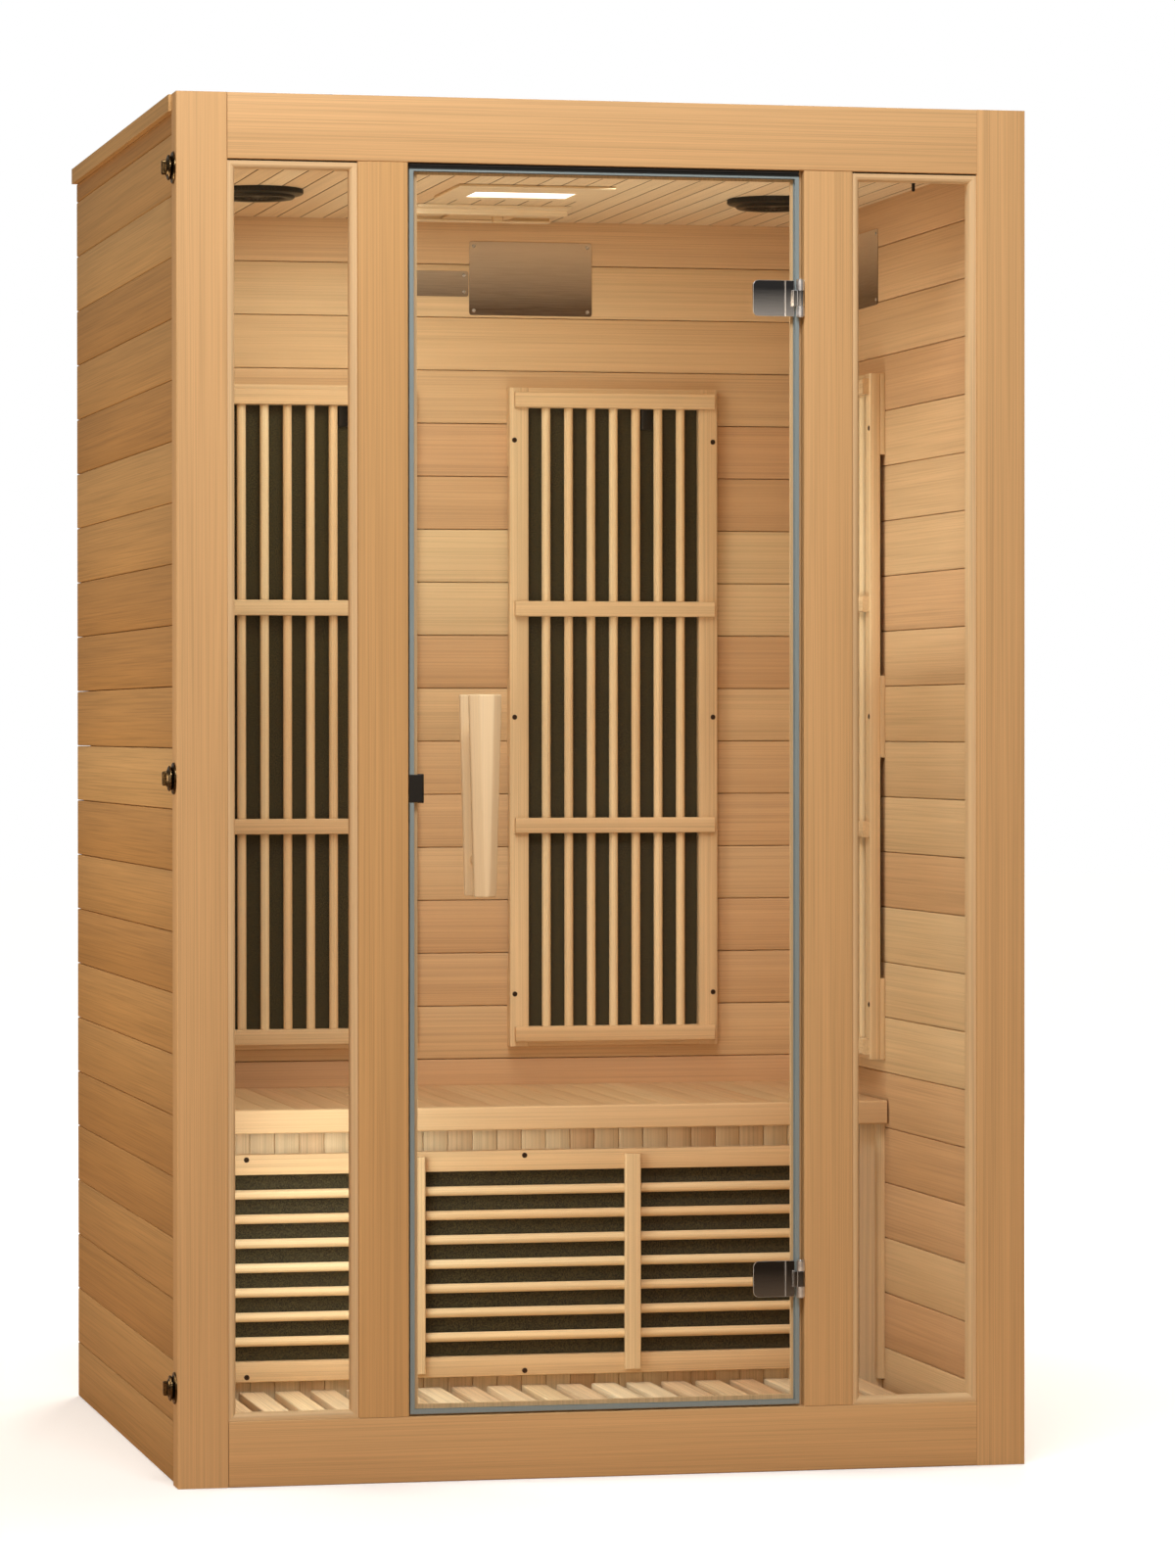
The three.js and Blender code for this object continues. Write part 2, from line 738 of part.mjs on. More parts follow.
function addBench() {
  const seatX = [-seatHalf, seatHalf];
  const seatJoints = jointsAlong(seatX, seatBoardPitch, seatBoardPitch / 2);
  const outline = boardedOutline(seatX, seatHeight, seatBottom, seatJoints, []);
  add('bench_seat', prism('y', outline, [benchFront + apronThickness + fit, backInside - fit]), innerWood);
  const apronY = [benchFront, benchFront + apronThickness];
  add('bench_apron', box(seatX, apronY, [apronBottom, seatHeight]), innerWood);

  const riserX = [-innerHalf, innerHalf];
  const riserJoints = jointsAlong(riserX, riserBoardPitch, 0);
  const riserBack = riserFront + riserThickness;
  const riserOutline = boardedOutline(riserX, riserFront, riserBack, riserJoints, []);
  add('bench_riser', prism('z', riserOutline, [floorBaseThickness + fit, seatBottom - fit]), innerWood);

  const ledgerZ = [seatBottom - fit - ledgerHeight, seatBottom - fit];
  const ledgerY = [riserBack + fit, backInside - fit];
  const ledgers = [
    box(riserX, [ledgerY[1] - ledgerWidth, ledgerY[1]], ledgerZ),
    box([riserX[0], riserX[0] + ledgerWidth], ledgerY, ledgerZ),
    box([riserX[1] - ledgerWidth, riserX[1]], ledgerY, ledgerZ),
  ];
  add('bench_ledger', join(...ledgers), innerWood);
}

// A heater stands on a wall with its back at y = 0, its front towards -Y and its length along Z.
function addHeater(name, length, width, place) {
  const boxFront = -heaterDepth;
  const openWidth = width - 2 * heaterFrameWidth;
  const railX = spread(0, width - 2 * heaterRailInset);
  const railY = [boxFront - heaterRailProud, boxFront + dowelProud];
  const railEnd = length / 2 - heaterRailInset - heaterRailWidth / 2;
  const openLength = 2 * (railEnd - heaterRailWidth / 2);
  const through = [boxFront - heaterDepth, heaterDepth];
  const frame = cut(
    box(spread(0, width), [boxFront, 0], spread(0, length)),
    box(spread(0, openWidth), through, spread(0, openLength)),
    ...spread(0, ventSlotSpacing).map((z) =>
      box(spread(0, 2 * width), [-ventSlotDepth, ventSlotDepth], spread(z, ventSlotLength))),
  );
  const rails = [-railEnd, ...spread(0, heaterRailShare * length), railEnd].map((z) =>
    box(railX, railY, spread(z, heaterRailWidth)));
  const dowelPitch = 2 * dowelRadius + dowelGap;
  const dowelCount = Math.max(1, Math.round((openWidth - dowelGap) / dowelPitch));
  const dowelSpread = (openWidth + 2 * dowelRadius) / (dowelCount + 1);
  const firstDowel = (-(dowelCount - 1) * dowelSpread) / 2;
  const dowelY = boxFront - dowelProud + dowelRadius;
  const dowels = Array.from({ length: dowelCount }, (_, i) =>
    rod('z', dowelRadius, [firstDowel + i * dowelSpread, dowelY], spread(0, openLength + 2 * dowelTenon),
      dowelSides));
  const heater = new THREE.Group();
  add(`${name}_guard`, join(frame, ...rails, ...dowels), trimWood, heater);

  const sheetY = [-elementInset - elementThickness, -elementInset];
  const sheet = box(spread(0, openWidth - 2 * fit), sheetY, spread(0, openLength - 2 * fit));
  const terminalTop = openLength / 2 - fit;
  const terminalX = firstDowel + (dowelCount - 2.5) * dowelSpread;
  const terminal = box(
    spread(terminalX, terminalWidth),
    [sheetY[0] - terminalDepth, sheetY[1] - elementThickness / 2],
    [terminalTop - terminalHeight, terminalTop],
  );
  add(`${name}_element`, join(sheet, terminal), carbon, heater);
  place(heater);
  cabin.add(heater);
}

function addHeaters() {
  const [leftPlace, rightPlace] = spread(0, backHeaterSpacing);
  const backPlace = (x) => (heater) => heater.position.set(x, backInside - fit, heaterCentreHeight);
  addHeater('heater_back_left', heaterLength, heaterWidth, backPlace(leftPlace));
  addHeater('heater_back_right', heaterLength, heaterWidth, backPlace(rightPlace));

  const sideY = backInside - sideHeaterFromBack - heaterWidth / 2;
  for (const [name, side] of [['heater_left', -1], ['heater_right', 1]]) {
    addHeater(name, heaterLength, heaterWidth, (heater) => {
      heater.position.set(side * innerHalf, sideY, heaterCentreHeight);
      heater.rotation.z = (-side * Math.PI) / 2;
    });
  }

  addHeater('heater_bench', benchHeaterLength, benchHeaterWidth, (heater) => {
    heater.position.set(0, riserFront - fit, benchHeaterBottom + benchHeaterWidth / 2);
    heater.rotation.y = Math.PI / 2;
  });
}

function addSpeakers() {
  const top = -fit;
  const rimBottom = top - speakerRimThickness;
  const bottom = top - speakerThickness;
  const slope = (speakerRadius + speakerDishRadius) / 2;
  const profile = [
    [0, bottom],
    [speakerDishRadius, bottom],
    [slope, (rimBottom + bottom) / 2],
    [speakerRadius, rimBottom],
    [speakerRadius, top],
    [0, top],
  ];
  for (const [side, offset] of [['left', -speakerOffset], ['right', speakerOffset]]) {
    const points = profile.map(([r, h]) => new THREE.Vector2(r, h));
    const dish = new THREE.LatheGeometry(points, speakerSegments).rotateX(Math.PI / 2);
    add(`speaker_${side}`, dish.translate(offset, front + speakerFromFront, ceiling), blackPlastic);
  }
}

function addLight() {
  const centre = front + lightFromFront;
  const boardZ = [ceiling - fit - lightBoardThickness, ceiling - fit];
  const board = box(spread(0, lightBoardWidth), spread(centre, lightBoardDepth), boardZ);
  const windowX = spread(0, lightPanelWidth);
  const windowY = spread(centre + lightPanelShift, lightPanelDepth);
  const opening = box(windowX, windowY, [boardZ[0] - lightBoardThickness, boardZ[1] + lightBoardThickness]);
  add('light_board', cut(board, opening), trimWood);
  const panel = box(
    [windowX[0] + fit, windowX[1] - fit],
    [windowY[0] + fit, windowY[1] - fit],
    [boardZ[1] - lightPanelThickness, boardZ[1]],
  );
  add('light_diffuser', panel, lampDiffuser);
}

function addVent() {
  const plateZ = [ceiling - fit - ventPlateThickness, ceiling - fit];
  const sliderTop = plateZ[0] - sliderClearance;
  const sliderZ = [sliderTop - sliderThickness, sliderTop];
  const lipZ = [sliderZ[0] - sliderClearance - ventRailLipThickness, sliderZ[0] - sliderClearance];
  const plate = box(spread(0, ventWidth), spread(ventCentre, ventDepth), plateZ);
  const hole = box(
    spread(0, ventHoleWidth),
    spread(ventCentre, ventHoleDepth),
    [plateZ[0] - ventPlateThickness, plateZ[1] + ventPlateThickness],
  );
  const guideInner = sliderDepth / 2 + sliderClearance;
  const guides = [-1, 1].flatMap((side) => {
    const edge = (reach) => ventCentre + side * reach;
    const web = [edge(guideInner), edge(guideInner + ventRailWidth)].sort((a, b) => a - b);
    const lip = [edge(guideInner - ventRailLip), edge(guideInner + ventRailWidth)].sort((a, b) => a - b);
    return [
      box(spread(0, ventWidth), web, [lipZ[0], plateZ[1] - ventPlateThickness / 2]),
      box(spread(0, ventWidth), lip, lipZ),
    ];
  });
  add('vent_frame', cut(join(plate, ...guides), hole), trimWood);

  const cover = box(spread(0, sliderWidth), spread(ventCentre, sliderDepth), sliderZ);
  const knob = box(
    spread(knobShift, knobWidth),
    spread(ventCentre, knobWidth),
    [sliderZ[0] - knobHeight, sliderTop - sliderThickness / 2],
  );
  add('vent_slider', join(cover, knob), innerWood);
}

function latchTurn() {
  const discTop = latchStemLength + latchDiscThickness;
  const profile = [
    [0, 0],
    [latchStemRadius, 0],
    [latchStemRadius, latchStemLength],
    [latchDiscRadius, latchStemLength],
    [latchDiscRadius, discTop],
    [latchDomeRadius, discTop + latchDomeHeight],
    [0, discTop + latchDomeHeight],
  ];
  const points = profile.map(([r, h]) => new THREE.Vector2(r, h));
  const turned = new THREE.LatheGeometry(points, latchSegments).rotateX(Math.PI / 2);
  const wing = box(
    spread(0, latchWingLength),
    spread(0, latchWingWidth),
    [discTop - latchDiscThickness / 2, discTop + latchWingHeight],
  );
  return join(turned, wing);
}

function addLatches() {
  const top = cabinHeight - latchTopDrop;
  const heights = { lower: latchLowHeight, middle: (latchLowHeight + top) / 2, upper: top };
  for (const [level, height] of Object.entries(heights)) {
    const latch = new THREE.Group();
    latch.position.set(-cabinWidth / 2 - fit, front + latchFromFront, height);
    latch.rotation.y = -Math.PI / 2;
    add(`latch_${level}`, latchTurn(), bronze, latch);
    cabin.add(latch);
  }
}

function addControls() {
  const wall = -innerHalf;
  const face = wall + panelThickness;
  const y = front + panelFromFront;
  const z = panelHeightAboveFloor;
  const housing = box([wall, face], spread(y, panelWidth), spread(z, panelHeight));
  const display = box(
    [face - displayRecess, face + displayRecess],
    spread(y, displayWidth),
    spread(z + displayRise, displayHeight),
  );
  const buttonPlaces = spread(y, buttonSpacing).map((place) => [place, z + buttonRise]);
  const pockets = buttonPlaces.map((place) =>
    rod('x', buttonRadius + buttonPlay, place, [face - buttonPocketDepth, face + buttonProud], buttonSegments));
  add('control_panel', cut(housing, display, ...pockets), blackPlastic);
  const reach = [face + buttonProud - buttonLength, face + buttonProud];
  ['light_button', 'power_button'].forEach((name, i) => {
    add(name, rod('x', buttonRadius, buttonPlaces[i], reach, buttonSegments), greyPlastic);
  });
}

addFloor();
addWalls();
addRoof();
addFrontFrame();
addWindows();
addDoor();
addCatch();
Object.entries(hingeHeights).forEach(([place, height]) => addHinge(place, height));
addHandles();
addBench();
addHeaters();
addSpeakers();
addLight();
addVent();
addLatches();
addControls();

export default cabin;
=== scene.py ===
"""Looks of the infrared sauna cabin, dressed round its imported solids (metres, +Z up, front towards -Y)."""

import logging
import math
from collections.abc import Iterable, Sequence
from dataclasses import dataclass
from enum import Enum
from functools import cached_property
from typing import Any

import bmesh
import bpy
from mathutils import Matrix, Vector

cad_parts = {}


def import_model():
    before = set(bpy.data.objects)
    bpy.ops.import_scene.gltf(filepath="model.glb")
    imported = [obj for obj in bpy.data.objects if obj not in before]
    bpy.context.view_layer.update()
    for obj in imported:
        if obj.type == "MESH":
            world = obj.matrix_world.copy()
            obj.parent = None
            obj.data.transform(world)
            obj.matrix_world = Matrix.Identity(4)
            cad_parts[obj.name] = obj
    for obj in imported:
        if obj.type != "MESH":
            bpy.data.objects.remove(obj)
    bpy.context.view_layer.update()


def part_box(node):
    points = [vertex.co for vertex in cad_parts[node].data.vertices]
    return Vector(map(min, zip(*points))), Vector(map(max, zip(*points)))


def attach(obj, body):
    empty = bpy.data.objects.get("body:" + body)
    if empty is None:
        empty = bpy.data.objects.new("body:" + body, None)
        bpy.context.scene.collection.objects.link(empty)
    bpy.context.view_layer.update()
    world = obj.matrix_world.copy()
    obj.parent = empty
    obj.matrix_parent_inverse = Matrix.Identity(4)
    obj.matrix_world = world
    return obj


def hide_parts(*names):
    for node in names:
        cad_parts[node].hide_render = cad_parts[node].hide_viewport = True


LOG = logging.getLogger("sauna")
MM = 0.001
# Room between parts that meet, and how far a thin plate or screw stands off its surface.
CLEAR = 0.0003
SKIN = 0.0002
# Faces that turn by less than this are one face.
FLAT = math.radians(1.0)

Span = tuple[float, float]
Point = Sequence[float]
Colour = tuple[float, float, float, float]
Mesh = bpy.types.Mesh
Node = bpy.types.Node
Socket = bpy.types.NodeSocket
Tree = bpy.types.NodeTree


class Axis(Enum):
    """A row axis, with its place in an X, Y, Z vector."""

    X = 0
    Y = 1
    Z = 2

    @property
    def unit(self) -> Vector:
        """Unit vector along the axis."""
        return Vector([1.0 if i == self.value else 0.0 for i in range(3)])


class Body(Enum):
    """The rigid bodies that scene pieces ride on."""

    CABIN = "cabin"
    DOOR = "door"
    VENT = "vent_slider"


class Slot(Enum):
    """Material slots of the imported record."""

    FRAME = "frame_wood"
    WALL = "wall_wood"
    INNER = "inner_wood"
    TRIM = "trim_wood"
    STEEL = "hinge_steel"
    BRONZE = "dark_bronze"
    CARBON = "heater_carbon"
    BLACK = "black_plastic"
    GREY = "grey_plastic"


def linear(colour: str) -> Colour:
    """Turns an sRGB hex colour into linear RGBA.

    Args:
        colour: six hex digits after a hash sign.

    Returns:
        Linear red, green, blue and an alpha of 1.
    """
    parts = [int(colour[i:i + 2], 16) / 255.0 for i in (1, 3, 5)]
    bent = [c / 12.92 if c <= 0.04045 else ((c + 0.055) / 1.055) ** 2.4 for c in parts]
    return (bent[0], bent[1], bent[2], 1.0)


def grey(level: float) -> Colour:
    """A linear grey as RGBA."""
    return (level, level, level, 1.0)


def add_node(
    tree: Tree,
    kind: str,
    inputs: dict[str | int, Any] | None = None,
    stops: Sequence[tuple[float, Colour]] = (),
    **settings: Any,
) -> Node:
    """Adds one node with its settings, values and links.

    Args:
        tree: node tree to add to.
        kind: node type name.
        inputs: input name or index to a value, or to the output socket that feeds it.
        stops: place and colour of each stop, where the node has a colour ramp.
        settings: node properties to set before the inputs.

    Returns:
        The new node.
    """
    made = tree.nodes.new(kind)
    for key, value in settings.items():
        setattr(made, key, value)
    for key, value in (inputs or {}).items():
        if isinstance(value, Socket):
            tree.links.new(value, made.inputs[key])
        else:
            made.inputs[key].default_value = value
    if stops:
        elements = made.color_ramp.elements
        while len(elements) < len(stops):
            elements.new(0.5)
        for element, (place, colour) in zip(elements, stops):
            element.position = place
            element.color = colour
    return made


@dataclass(frozen=True)
class Finish:
    """Base of all finishes: a named material on one Principled shader.

    Attributes:
        name: common name of the real material and how its surface was made.
    """

    name: str

    def material(self) -> bpy.types.Material:
        """Gives the material, made on first use.

        Returns:
            The material.
        """
        known = bpy.data.materials.get(self.name)
        if known is not None:
            return known
        made = bpy.data.materials.new(self.name)
        made.use_nodes = True
        tree = made.node_tree
        tree.nodes.clear()
        shader = add_node(tree, "ShaderNodeBsdfPrincipled", self.sockets(tree))
        add_node(tree, "ShaderNodeOutputMaterial", {"Surface": shader.outputs["BSDF"]})
        return made

    def sockets(self, tree: Tree) -> dict[str, Any]:
        """Gives what goes into the shader; each finish has its own.

        Args:
            tree: the material's node tree.

        Returns:
            Socket name to value, or to the output that feeds it.
        """
        raise NotImplementedError

    def streaks(
        self, tree: Tree, place: Socket, size_mm: Span, along: Axis, detail: float, roughness: float
    ) -> Socket:
        """Noise drawn out along one axis.

        Args:
            tree: the material's node tree.
            place: coordinates.
            size_mm: real width and length of a streak.
            along: axis of the length.
            detail: octaves of the noise.
            roughness: strength of the finer octaves.

        Returns:
            Socket with the noise, from 0 to 1.
        """
        scale = [1.0 / (size_mm[0] * MM)] * 3
        scale[along.value] = 1.0 / (size_mm[1] * MM)
        mapped = add_node(tree, "ShaderNodeMapping", {"Vector": place, "Scale": scale})
        return add_node(
            tree, "ShaderNodeTexNoise",
            {"Vector": mapped.outputs[0], "Scale": 1.0, "Detail": detail, "Roughness": roughness},
        ).outputs["Fac"]


@dataclass(frozen=True)
class Hemlock(Finish):
    """Planed hemlock: pale, straight and fine grained, each board with a tone of its own.

    The eye gets fine dark late-wood lines along the board, broader soft bands, a matt sheen and small
    changes of tone from board to board.

    Attributes:
        grain: axis that the fibres follow.
        tones: sRGB colours that the boards are spread over, from first to last.
        figure: how strongly the grain lines darken the tone.
        roughness: surface roughness.
        sheen: strength of the mirror-like part.
        pitch: board spacing for a solid whose boards are counted by place; 0 reads each board's number.
        across: axis that the boards are counted along.
        first_joint: place of one board joint.
    """

    grain: Axis = Axis.Z
    tones: tuple[str, ...] = ()
    figure: float = 0.3
    roughness: float = 0.5
    sheen: float = 0.2
    pitch: float = 0.0
    across: Axis = Axis.X
    first_joint: float = 0.0

    # Width and length of late-wood lines, bands and fibres, and width and shade of an open joint.
    # Lines and fibres are drawn coarser than real ones, so that they show.
    LINE_MM = (1.7, 420.0)
    BAND_MM = (16.0, 900.0)
    FIBRE_MM = (0.9, 45.0)
    JOINT_MM = 1.5
    JOINT_SHADE = 0.18
    # Move of the grain from one board to the next, so that no two boards look alike.
    SHIFT = (13.7, 29.3, 7.9)
    # Weight of lines and of bands, and at which noise they change the tone by which share of the figure.
    LINE_SHADES = (0.75, ((0.36, 0.0), (0.50, -0.35), (0.66, -1.0)))
    BAND_SHADES = (0.8, ((0.30, 0.2), (0.70, -0.35)))

    def steps(self, tree: Tree, place: Socket) -> Socket:
        """Distance across the boards, in boards.

        Args:
            tree: the material's node tree.
            place: object coordinates.

        Returns:
            Socket with the distance.
        """
        parts = add_node(tree, "ShaderNodeSeparateXYZ", {0: place})
        return add_node(
            tree, "ShaderNodeMath",
            {0: parts.outputs[self.across.value], 1: 1.0 / self.pitch, 2: -self.first_joint / self.pitch},
            operation="MULTIPLY_ADD",
        ).outputs[0]

    def board_number(self, tree: Tree, place: Socket) -> Socket:
        """Number from 0 to 1 that differs from board to board.

        Args:
            tree: the material's node tree.
            place: object coordinates.

        Returns:
            Socket with the number.
        """
        if self.pitch == 0.0:
            return add_node(tree, "ShaderNodeAttribute", attribute_name="board").outputs["Fac"]
        count = add_node(tree, "ShaderNodeMath", {0: self.steps(tree, place)}, operation="FLOOR")
        return add_node(
            tree, "ShaderNodeTexWhiteNoise", {"W": count.outputs[0]}, noise_dimensions="1D"
        ).outputs["Value"]

    def shaded(
        self, tree: Tree, colour: Socket, by: Socket, weight: float, stops: Sequence[Span]
    ) -> Socket:
        """Darkens a colour where a number says so.

        Args:
            tree: the material's node tree.
            colour: the colour.
            by: the number, from 0 to 1.
            weight: strength of the whole change.
            stops: number and shade of each step.

        Returns:
            The darkened colour.
        """
        shade = add_node(tree, "ShaderNodeValToRGB", {"Fac": by}, [(at, grey(level)) for at, level in stops])
        return add_node(
            tree, "ShaderNodeMix", {0: weight, 6: colour, 7: shade.outputs["Color"]},
            data_type="RGBA", blend_type="MULTIPLY",
        ).outputs[2]

    def sockets(self, tree: Tree) -> dict[str, Any]:
        """Gives grain, tone and relief of the boards.

        Args:
            tree: the material's node tree.

        Returns:
            Socket name to value, or to the output that feeds it.
        """
        place = add_node(tree, "ShaderNodeTexCoord").outputs["Object"]
        number = self.board_number(tree, place)
        moved = add_node(
            tree, "ShaderNodeVectorMath", {0: number, 1: self.SHIFT, 2: place}, operation="MULTIPLY_ADD"
        ).outputs[0]
        last = max(len(self.tones) - 1, 1)
        colour = add_node(
            tree, "ShaderNodeValToRGB", {"Fac": number},
            [(i / last, linear(tone)) for i, tone in enumerate(self.tones)],
        ).outputs["Color"]
        lines = self.streaks(tree, moved, self.LINE_MM, self.grain, 3.0, 0.55)
        bands = self.streaks(tree, moved, self.BAND_MM, self.grain, 2.0, 0.55)
        fibres = self.streaks(tree, moved, self.FIBRE_MM, self.grain, 1.0, 0.55)
        for streak, (weight, shades) in ((lines, self.LINE_SHADES), (bands, self.BAND_SHADES)):
            stops = [(at, 1.0 + share * self.figure) for at, share in shades]
            colour = self.shaded(tree, colour, streak, weight, stops)
        if self.pitch:
            steps = self.steps(tree, place)
            share = add_node(tree, "ShaderNodeMath", {0: steps}, operation="FRACT").outputs[0]
            half = self.JOINT_MM * MM / self.pitch / 2
            stops = [
                (half, self.JOINT_SHADE), (2 * half, 1.0), (1 - 2 * half, 1.0), (1 - half, self.JOINT_SHADE)
            ]
            colour = self.shaded(tree, colour, share, 1.0, stops)
        height = add_node(tree, "ShaderNodeMath", {0: fibres, 1: lines}, operation="ADD").outputs[0]
        relief = add_node(tree, "ShaderNodeBump", {"Strength": 0.22, "Distance": 0.4 * MM, "Height": height})
        return {
            "Base Color": colour, "Normal": relief.outputs[0], "Roughness": self.roughness,
            "Specular IOR Level": self.sheen,
        }


@dataclass(frozen=True)
class Speckled(Finish):
    """A plain moulded, pressed or plated surface with a fine speckle in colour and height.

    Attributes:
        dark: sRGB colour of the speckle's low places.
        light: sRGB colour of its high places.
        grit_mm: size of the speckle.
        roughness: surface roughness.
        metallic: 1 for bare metal.
        bump: strength of the speckle's relief.
    """

    dark: str
    light: str
    grit_mm: float
    roughness: float
    metallic: float
    bump: float

    def sockets(self, tree: Tree) -> dict[str, Any]:
        """Gives the speckle.

        Args:
            tree: the material's node tree.

        Returns:
            Socket name to value, or to the output that feeds it.
        """
        place = add_node(tree, "ShaderNodeTexCoord").outputs["Object"]
        noise = self.streaks(tree, place, (self.grit_mm, self.grit_mm), Axis.X, 2.0, 0.6)
        stops = [(0.34, linear(self.dark)), (0.68, linear(self.light))]
        colour = add_node(tree, "ShaderNodeValToRGB", {"Fac": noise}, stops)
        relief = add_node(
            tree, "ShaderNodeBump", {"Strength": self.bump, "Distance": 0.3 * MM, "Height": noise}
        )
        return {
            "Base Color": colour.outputs["Color"], "Normal": relief.outputs[0], "Roughness": self.roughness,
            "Metallic": self.metallic,
        }


@dataclass(frozen=True)
class ShadedSheet(Finish):
    """A sheet or strip whose colour goes from one height to another, a painted shade and reflection, with
    fine lines along it.

    Attributes:
        along: axis of the fine lines.
        low: sRGB colour at the lower height.
        high: sRGB colour at the upper height.
        heights: lower and upper height of the shading.
        line_mm: width of a line.
        metallic: share of bare metal.
        roughness: surface roughness.
    """

    along: Axis = Axis.X
    # The default colours and heights are the brushed plates' painted reflection, brown below and pale above.
    low: str = "#5C4836"
    high: str = "#D6C3A8"
    heights: Span = (1.69, 1.80)
    line_mm: float = 0.7
    metallic: float = 0.55
    roughness: float = 0.42

    LINE_LENGTHS = 60.0
    WAVER = 0.3

    def sockets(self, tree: Tree) -> dict[str, Any]:
        """Gives the shading and the lines.

        Args:
            tree: the material's node tree.

        Returns:
            Socket name to value, or to the output that feeds it.
        """
        place = add_node(tree, "ShaderNodeTexCoord").outputs["Object"]
        size_mm = (self.line_mm, self.line_mm * self.LINE_LENGTHS)
        lines = self.streaks(tree, place, size_mm, self.along, 2.0, 0.5)
        height = add_node(tree, "ShaderNodeSeparateXYZ", {0: place}).outputs["Z"]
        share = add_node(
            tree, "ShaderNodeMapRange",
            {"Value": height, "From Min": self.heights[0], "From Max": self.heights[1]},
        ).outputs[0]
        wavered = add_node(
            tree, "ShaderNodeMath", {0: lines, 1: self.WAVER, 2: share}, operation="MULTIPLY_ADD"
        ).outputs[0]
        colour = add_node(
            tree, "ShaderNodeValToRGB", {"Fac": wavered}, [(0.1, linear(self.low)), (1.1, linear(self.high))]
        )
        relief = add_node(tree, "ShaderNodeBump", {"Strength": 0.05, "Distance": 0.2 * MM, "Height": lines})
        return {
            "Base Color": colour.outputs["Color"], "Normal": relief.outputs[0], "Roughness": self.roughness,
            "Metallic": self.metallic,
        }


@dataclass(frozen=True)
class FloatGlass(Finish):
    """Clear tempered float glass: almost no colour and a faint reflection.

    Attributes:
        tint: sRGB colour.
        cover: how much of the view behind it the pane takes away.
    """

    tint: str = "#1E2A26"
    cover: float = 0.04

    def sockets(self, tree: Tree) -> dict[str, Any]:
        """Gives the clear pane, which needs no pattern."""
        return {"Base Color": linear(self.tint), "Roughness": 0.02, "IOR": 1.52, "Alpha": self.cover}


@dataclass(frozen=True)
class OpalLamp(Finish):
    """Opal acrylic diffuser, lit from behind: an even white.

    Attributes:
        colour: sRGB colour of the lit sheet.
        glow: strength of its own light.
    """

    colour: str = "#FFFBF0"
    glow: float = 1.6

    def sockets(self, tree: Tree) -> dict[str, Any]:
        """Gives the lit sheet, which needs no pattern."""
        lit = linear(self.colour)
        return {"Base Color": lit, "Roughness": 0.4, "Emission Color": lit, "Emission Strength": self.glow}


def hemlock(use: str, grain: Axis, tones: tuple[str, ...], **more: Any) -> Hemlock:
    """A hemlock finish named for its use and grain.

    Args:
        use: where the wood is.
        grain: axis of the fibres.
        tones: board colours.
        more: further fields of the finish.

    Returns:
        The finish.
    """
    return Hemlock(f"hemlock_planed_{use}_{grain.name.lower()}", grain=grain, tones=tones, **more)


# Front frame stock is the warmest and most even; inner boards change most from one to the next.
FRAME_TONES = ("#DAAE77", "#E0B682", "#D6A970")
INNER_TONES = ("#E0BE90", "#D0A376", "#E6C799", "#D8AF82", "#E0BC8D", "#D3A67A", "#E4C294")
OUTER_TONES = ("#D2A66C", "#C6985E", "#D9B077", "#C19258", "#CEA269")
TRIM_TONES = ("#E8C799", "#E2BC8D", "#EBCDA0")
DOWEL_TONES = ("#F2D3A4", "#EDC999", "#F6DAAC")
CEILING_TONES = ("#EDD3AB", "#E2BF94", "#F0D8B2", "#E6C79D")
SLAT_TONES = ("#FADFB2", "#E8C196", "#FFEAC4", "#F0CFA4")
RISER_TONES = ("#F3DDB6", "#E8CBA2", "#F0D7AE", "#EBD0A8", "#E0BC92")
HANDLE_TONES = ("#FAE0B6", "#F7DAAC")

FRAME_WOOD = {axis: hemlock("frame", axis, FRAME_TONES, figure=0.24) for axis in Axis}
INNER_WOOD = {axis: hemlock("inner", axis, INNER_TONES, figure=0.24, roughness=0.55) for axis in Axis}
OUTER_WOOD = {axis: hemlock("outer", axis, OUTER_TONES) for axis in Axis}
TRIM_WOOD = {axis: hemlock("trim", axis, TRIM_TONES, figure=0.27) for axis in Axis}
DOWEL_WOOD = {axis: hemlock("dowel", axis, DOWEL_TONES, figure=0.2) for axis in Axis}
SLAT_WOOD = hemlock("slat", Axis.Y, SLAT_TONES, figure=0.42)
LAMP_WOOD = hemlock("lamp_board", Axis.X, CEILING_TONES, figure=0.22)
CEILING_WOOD = hemlock("ceiling", Axis.Y, CEILING_TONES, figure=0.2, pitch=0.0363)
HANDLE_WOOD = hemlock("handle", Axis.Z, HANDLE_TONES, figure=0.1)
RISER_WOOD = hemlock("riser", Axis.Z, RISER_TONES, figure=0.28)
CAP_WOOD = hemlock("cap", Axis.Y, OUTER_TONES, pitch=0.1208, first_joint=0.0604)
BASE_WOOD = hemlock("base", Axis.X, OUTER_TONES, pitch=0.1, across=Axis.Y, first_joint=0.05)

# All speckles and brushed lines here are drawn coarser than real ones, so that they show.
# Carbon-fibre heating sheet, pressed: dark olive with a dull speckle.
CARBON = Speckled("carbon_sheet_pressed", "#1F1B0F", "#514527", 1.8, 0.85, 0.0, 0.35)
# ABS, moulded black: satin with a barely visible texture.
BLACK_ABS = Speckled("abs_moulded_black", "#070605", "#14120F", 1.4, 0.42, 0.0, 0.06)
# ABS, moulded grey: matt housing and buttons.
GREY_ABS = Speckled("abs_moulded_grey", "#3A3C3F", "#46484B", 1.4, 0.5, 0.0, 0.06)
# Black acrylic, polished: the display window.
DISPLAY = Speckled("acrylic_polished_black", "#050607", "#090A0C", 20.0, 0.08, 0.0, 0.0)
